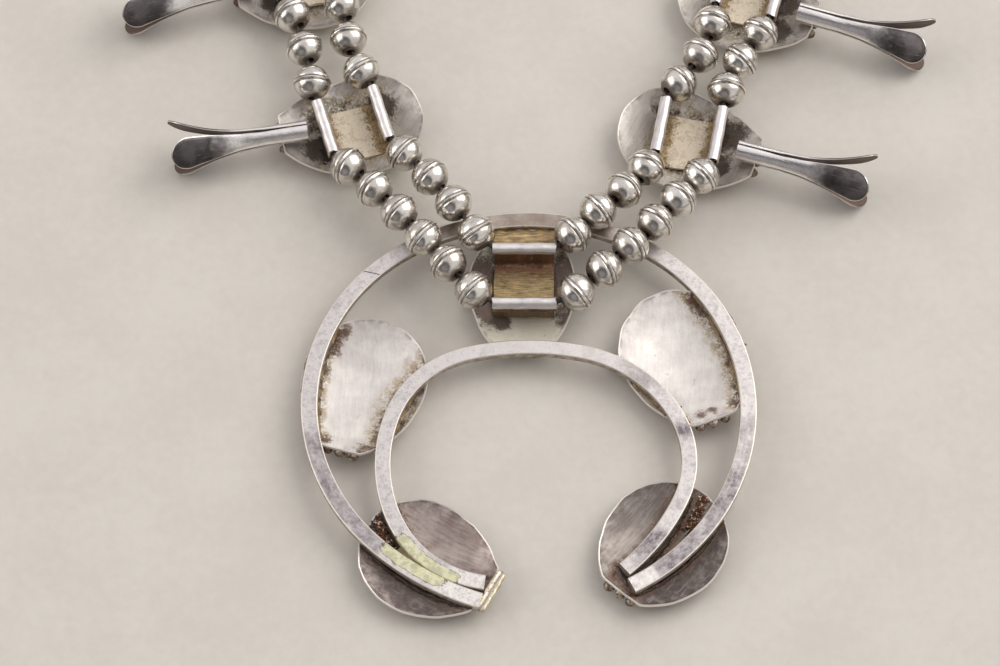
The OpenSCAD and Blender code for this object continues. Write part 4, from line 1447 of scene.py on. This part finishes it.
# The floor, the light and the camera stand for the table, the soft light and the place that the photo was
# taken from. They aren't part of the necklace.
camera_target = Vector((-5.1525, -121.12, 5.0)) * MM
camera_elevation = math.radians(64)
camera_distance = 535.7 * MM
toward_camera = Vector((0, -math.cos(camera_elevation), math.sin(camera_elevation)))
camera = added("camera", bpy.data.cameras.new("camera"))
camera.data.lens = 108
camera.data.sensor_width = 36
camera.location = camera_target + toward_camera * camera_distance
camera.rotation_mode = "QUATERNION"
camera.rotation_quaternion = (-toward_camera).to_track_quat("-Z", "Y")
bpy.context.scene.camera = camera


def table_finish():
    """Pale warm grey card with a faint mottle."""
    material, metres = blank(bpy.data.materials, "pale_table", "Object")
    place = metres.scaled(1 / MM)
    mottle = place.grain(0.05, 4, 0.6)
    fine = place.grain(0.5, 3, 0.6)
    colour = (mottle * 0.6 + fine * 0.4).rise(0.35, 0.65).tint((0.615, 0.578, 0.523), (0.66, 0.625, 0.565))
    surface = place.node("ShaderNodeBsdfPrincipled", {"Base Color": colour, "Roughness": 0.75})
    place.node("ShaderNodeOutputMaterial", {"Surface": surface})
    return material


def panel(name, at, aim, width, height, power, tint):
    """A soft light that faces a point."""
    light = bpy.data.lights.new(name, "AREA")
    light.shape = "RECTANGLE"
    light.size, light.size_y = width, height
    light.energy = power
    light.color = tint
    made = added(name, light)
    made.location = at
    made.rotation_mode = "QUATERNION"
    made.rotation_quaternion = (Vector(aim) - Vector(at)).to_track_quat("-Z", "Y")


table_half = 2.0
table_low = -0.00002
corners = [(x * table_half, y * table_half, table_low) for x, y in ((-1, -1), (1, -1), (1, 1), (-1, 1))]
mesh = bpy.data.meshes.new("table")
mesh.from_pydata(corners, [], [(0, 1, 2, 3)])
mesh.materials.append(table_finish())
table = added("table", mesh)

middle = (0, -0.1, 0)
panel("key", (0.75, 0.3, 0.8), middle, 1.0, 1.0, 7.5, (1, 0.98, 0.94))
panel("fill", (-0.95, -0.15, 0.6), middle, 0.9, 0.7, 3.0, (1, 0.98, 0.95))

world, way = blank(bpy.data.worlds, "room", "Generated")
bpy.context.scene.world = world


def facing(direction, far, close):
    """Goes from 0 to 1 as the view turns from far to close degrees off a direction."""
    aim = way.vector("DOT_PRODUCT", Vector(direction).normalized(), 1)
    return aim.rise(math.cos(math.radians(far)), math.cos(math.radians(close)))


# A pale ceiling over dark walls, and a dark corner that the beads mirror
room = way.part(2).rise(-0.02, 0.3).tint((0.14, 0.12, 0.10), (0.74, 0.72, 0.71))
room = (facing((0, 0.44, 0.9), 70, 10) * 0.85).tint(room, (0.80, 0.78, 0.80))
dark_corner = Vector((-0.34, -0.77, 0.55))
room = facing(dark_corner, 42, 32).tint(room, (0.10, 0.095, 0.095))
room = facing(dark_corner + Vector((0.05, -0.1, -0.1)), 24, 12).tint(room, (0.30, 0.29, 0.30))
room.node("ShaderNodeOutputWorld", {"Surface": room.node("ShaderNodeBackground", {0: room, 1: 1.0})})

bpy.context.scene.view_settings.view_transform = "Standard"
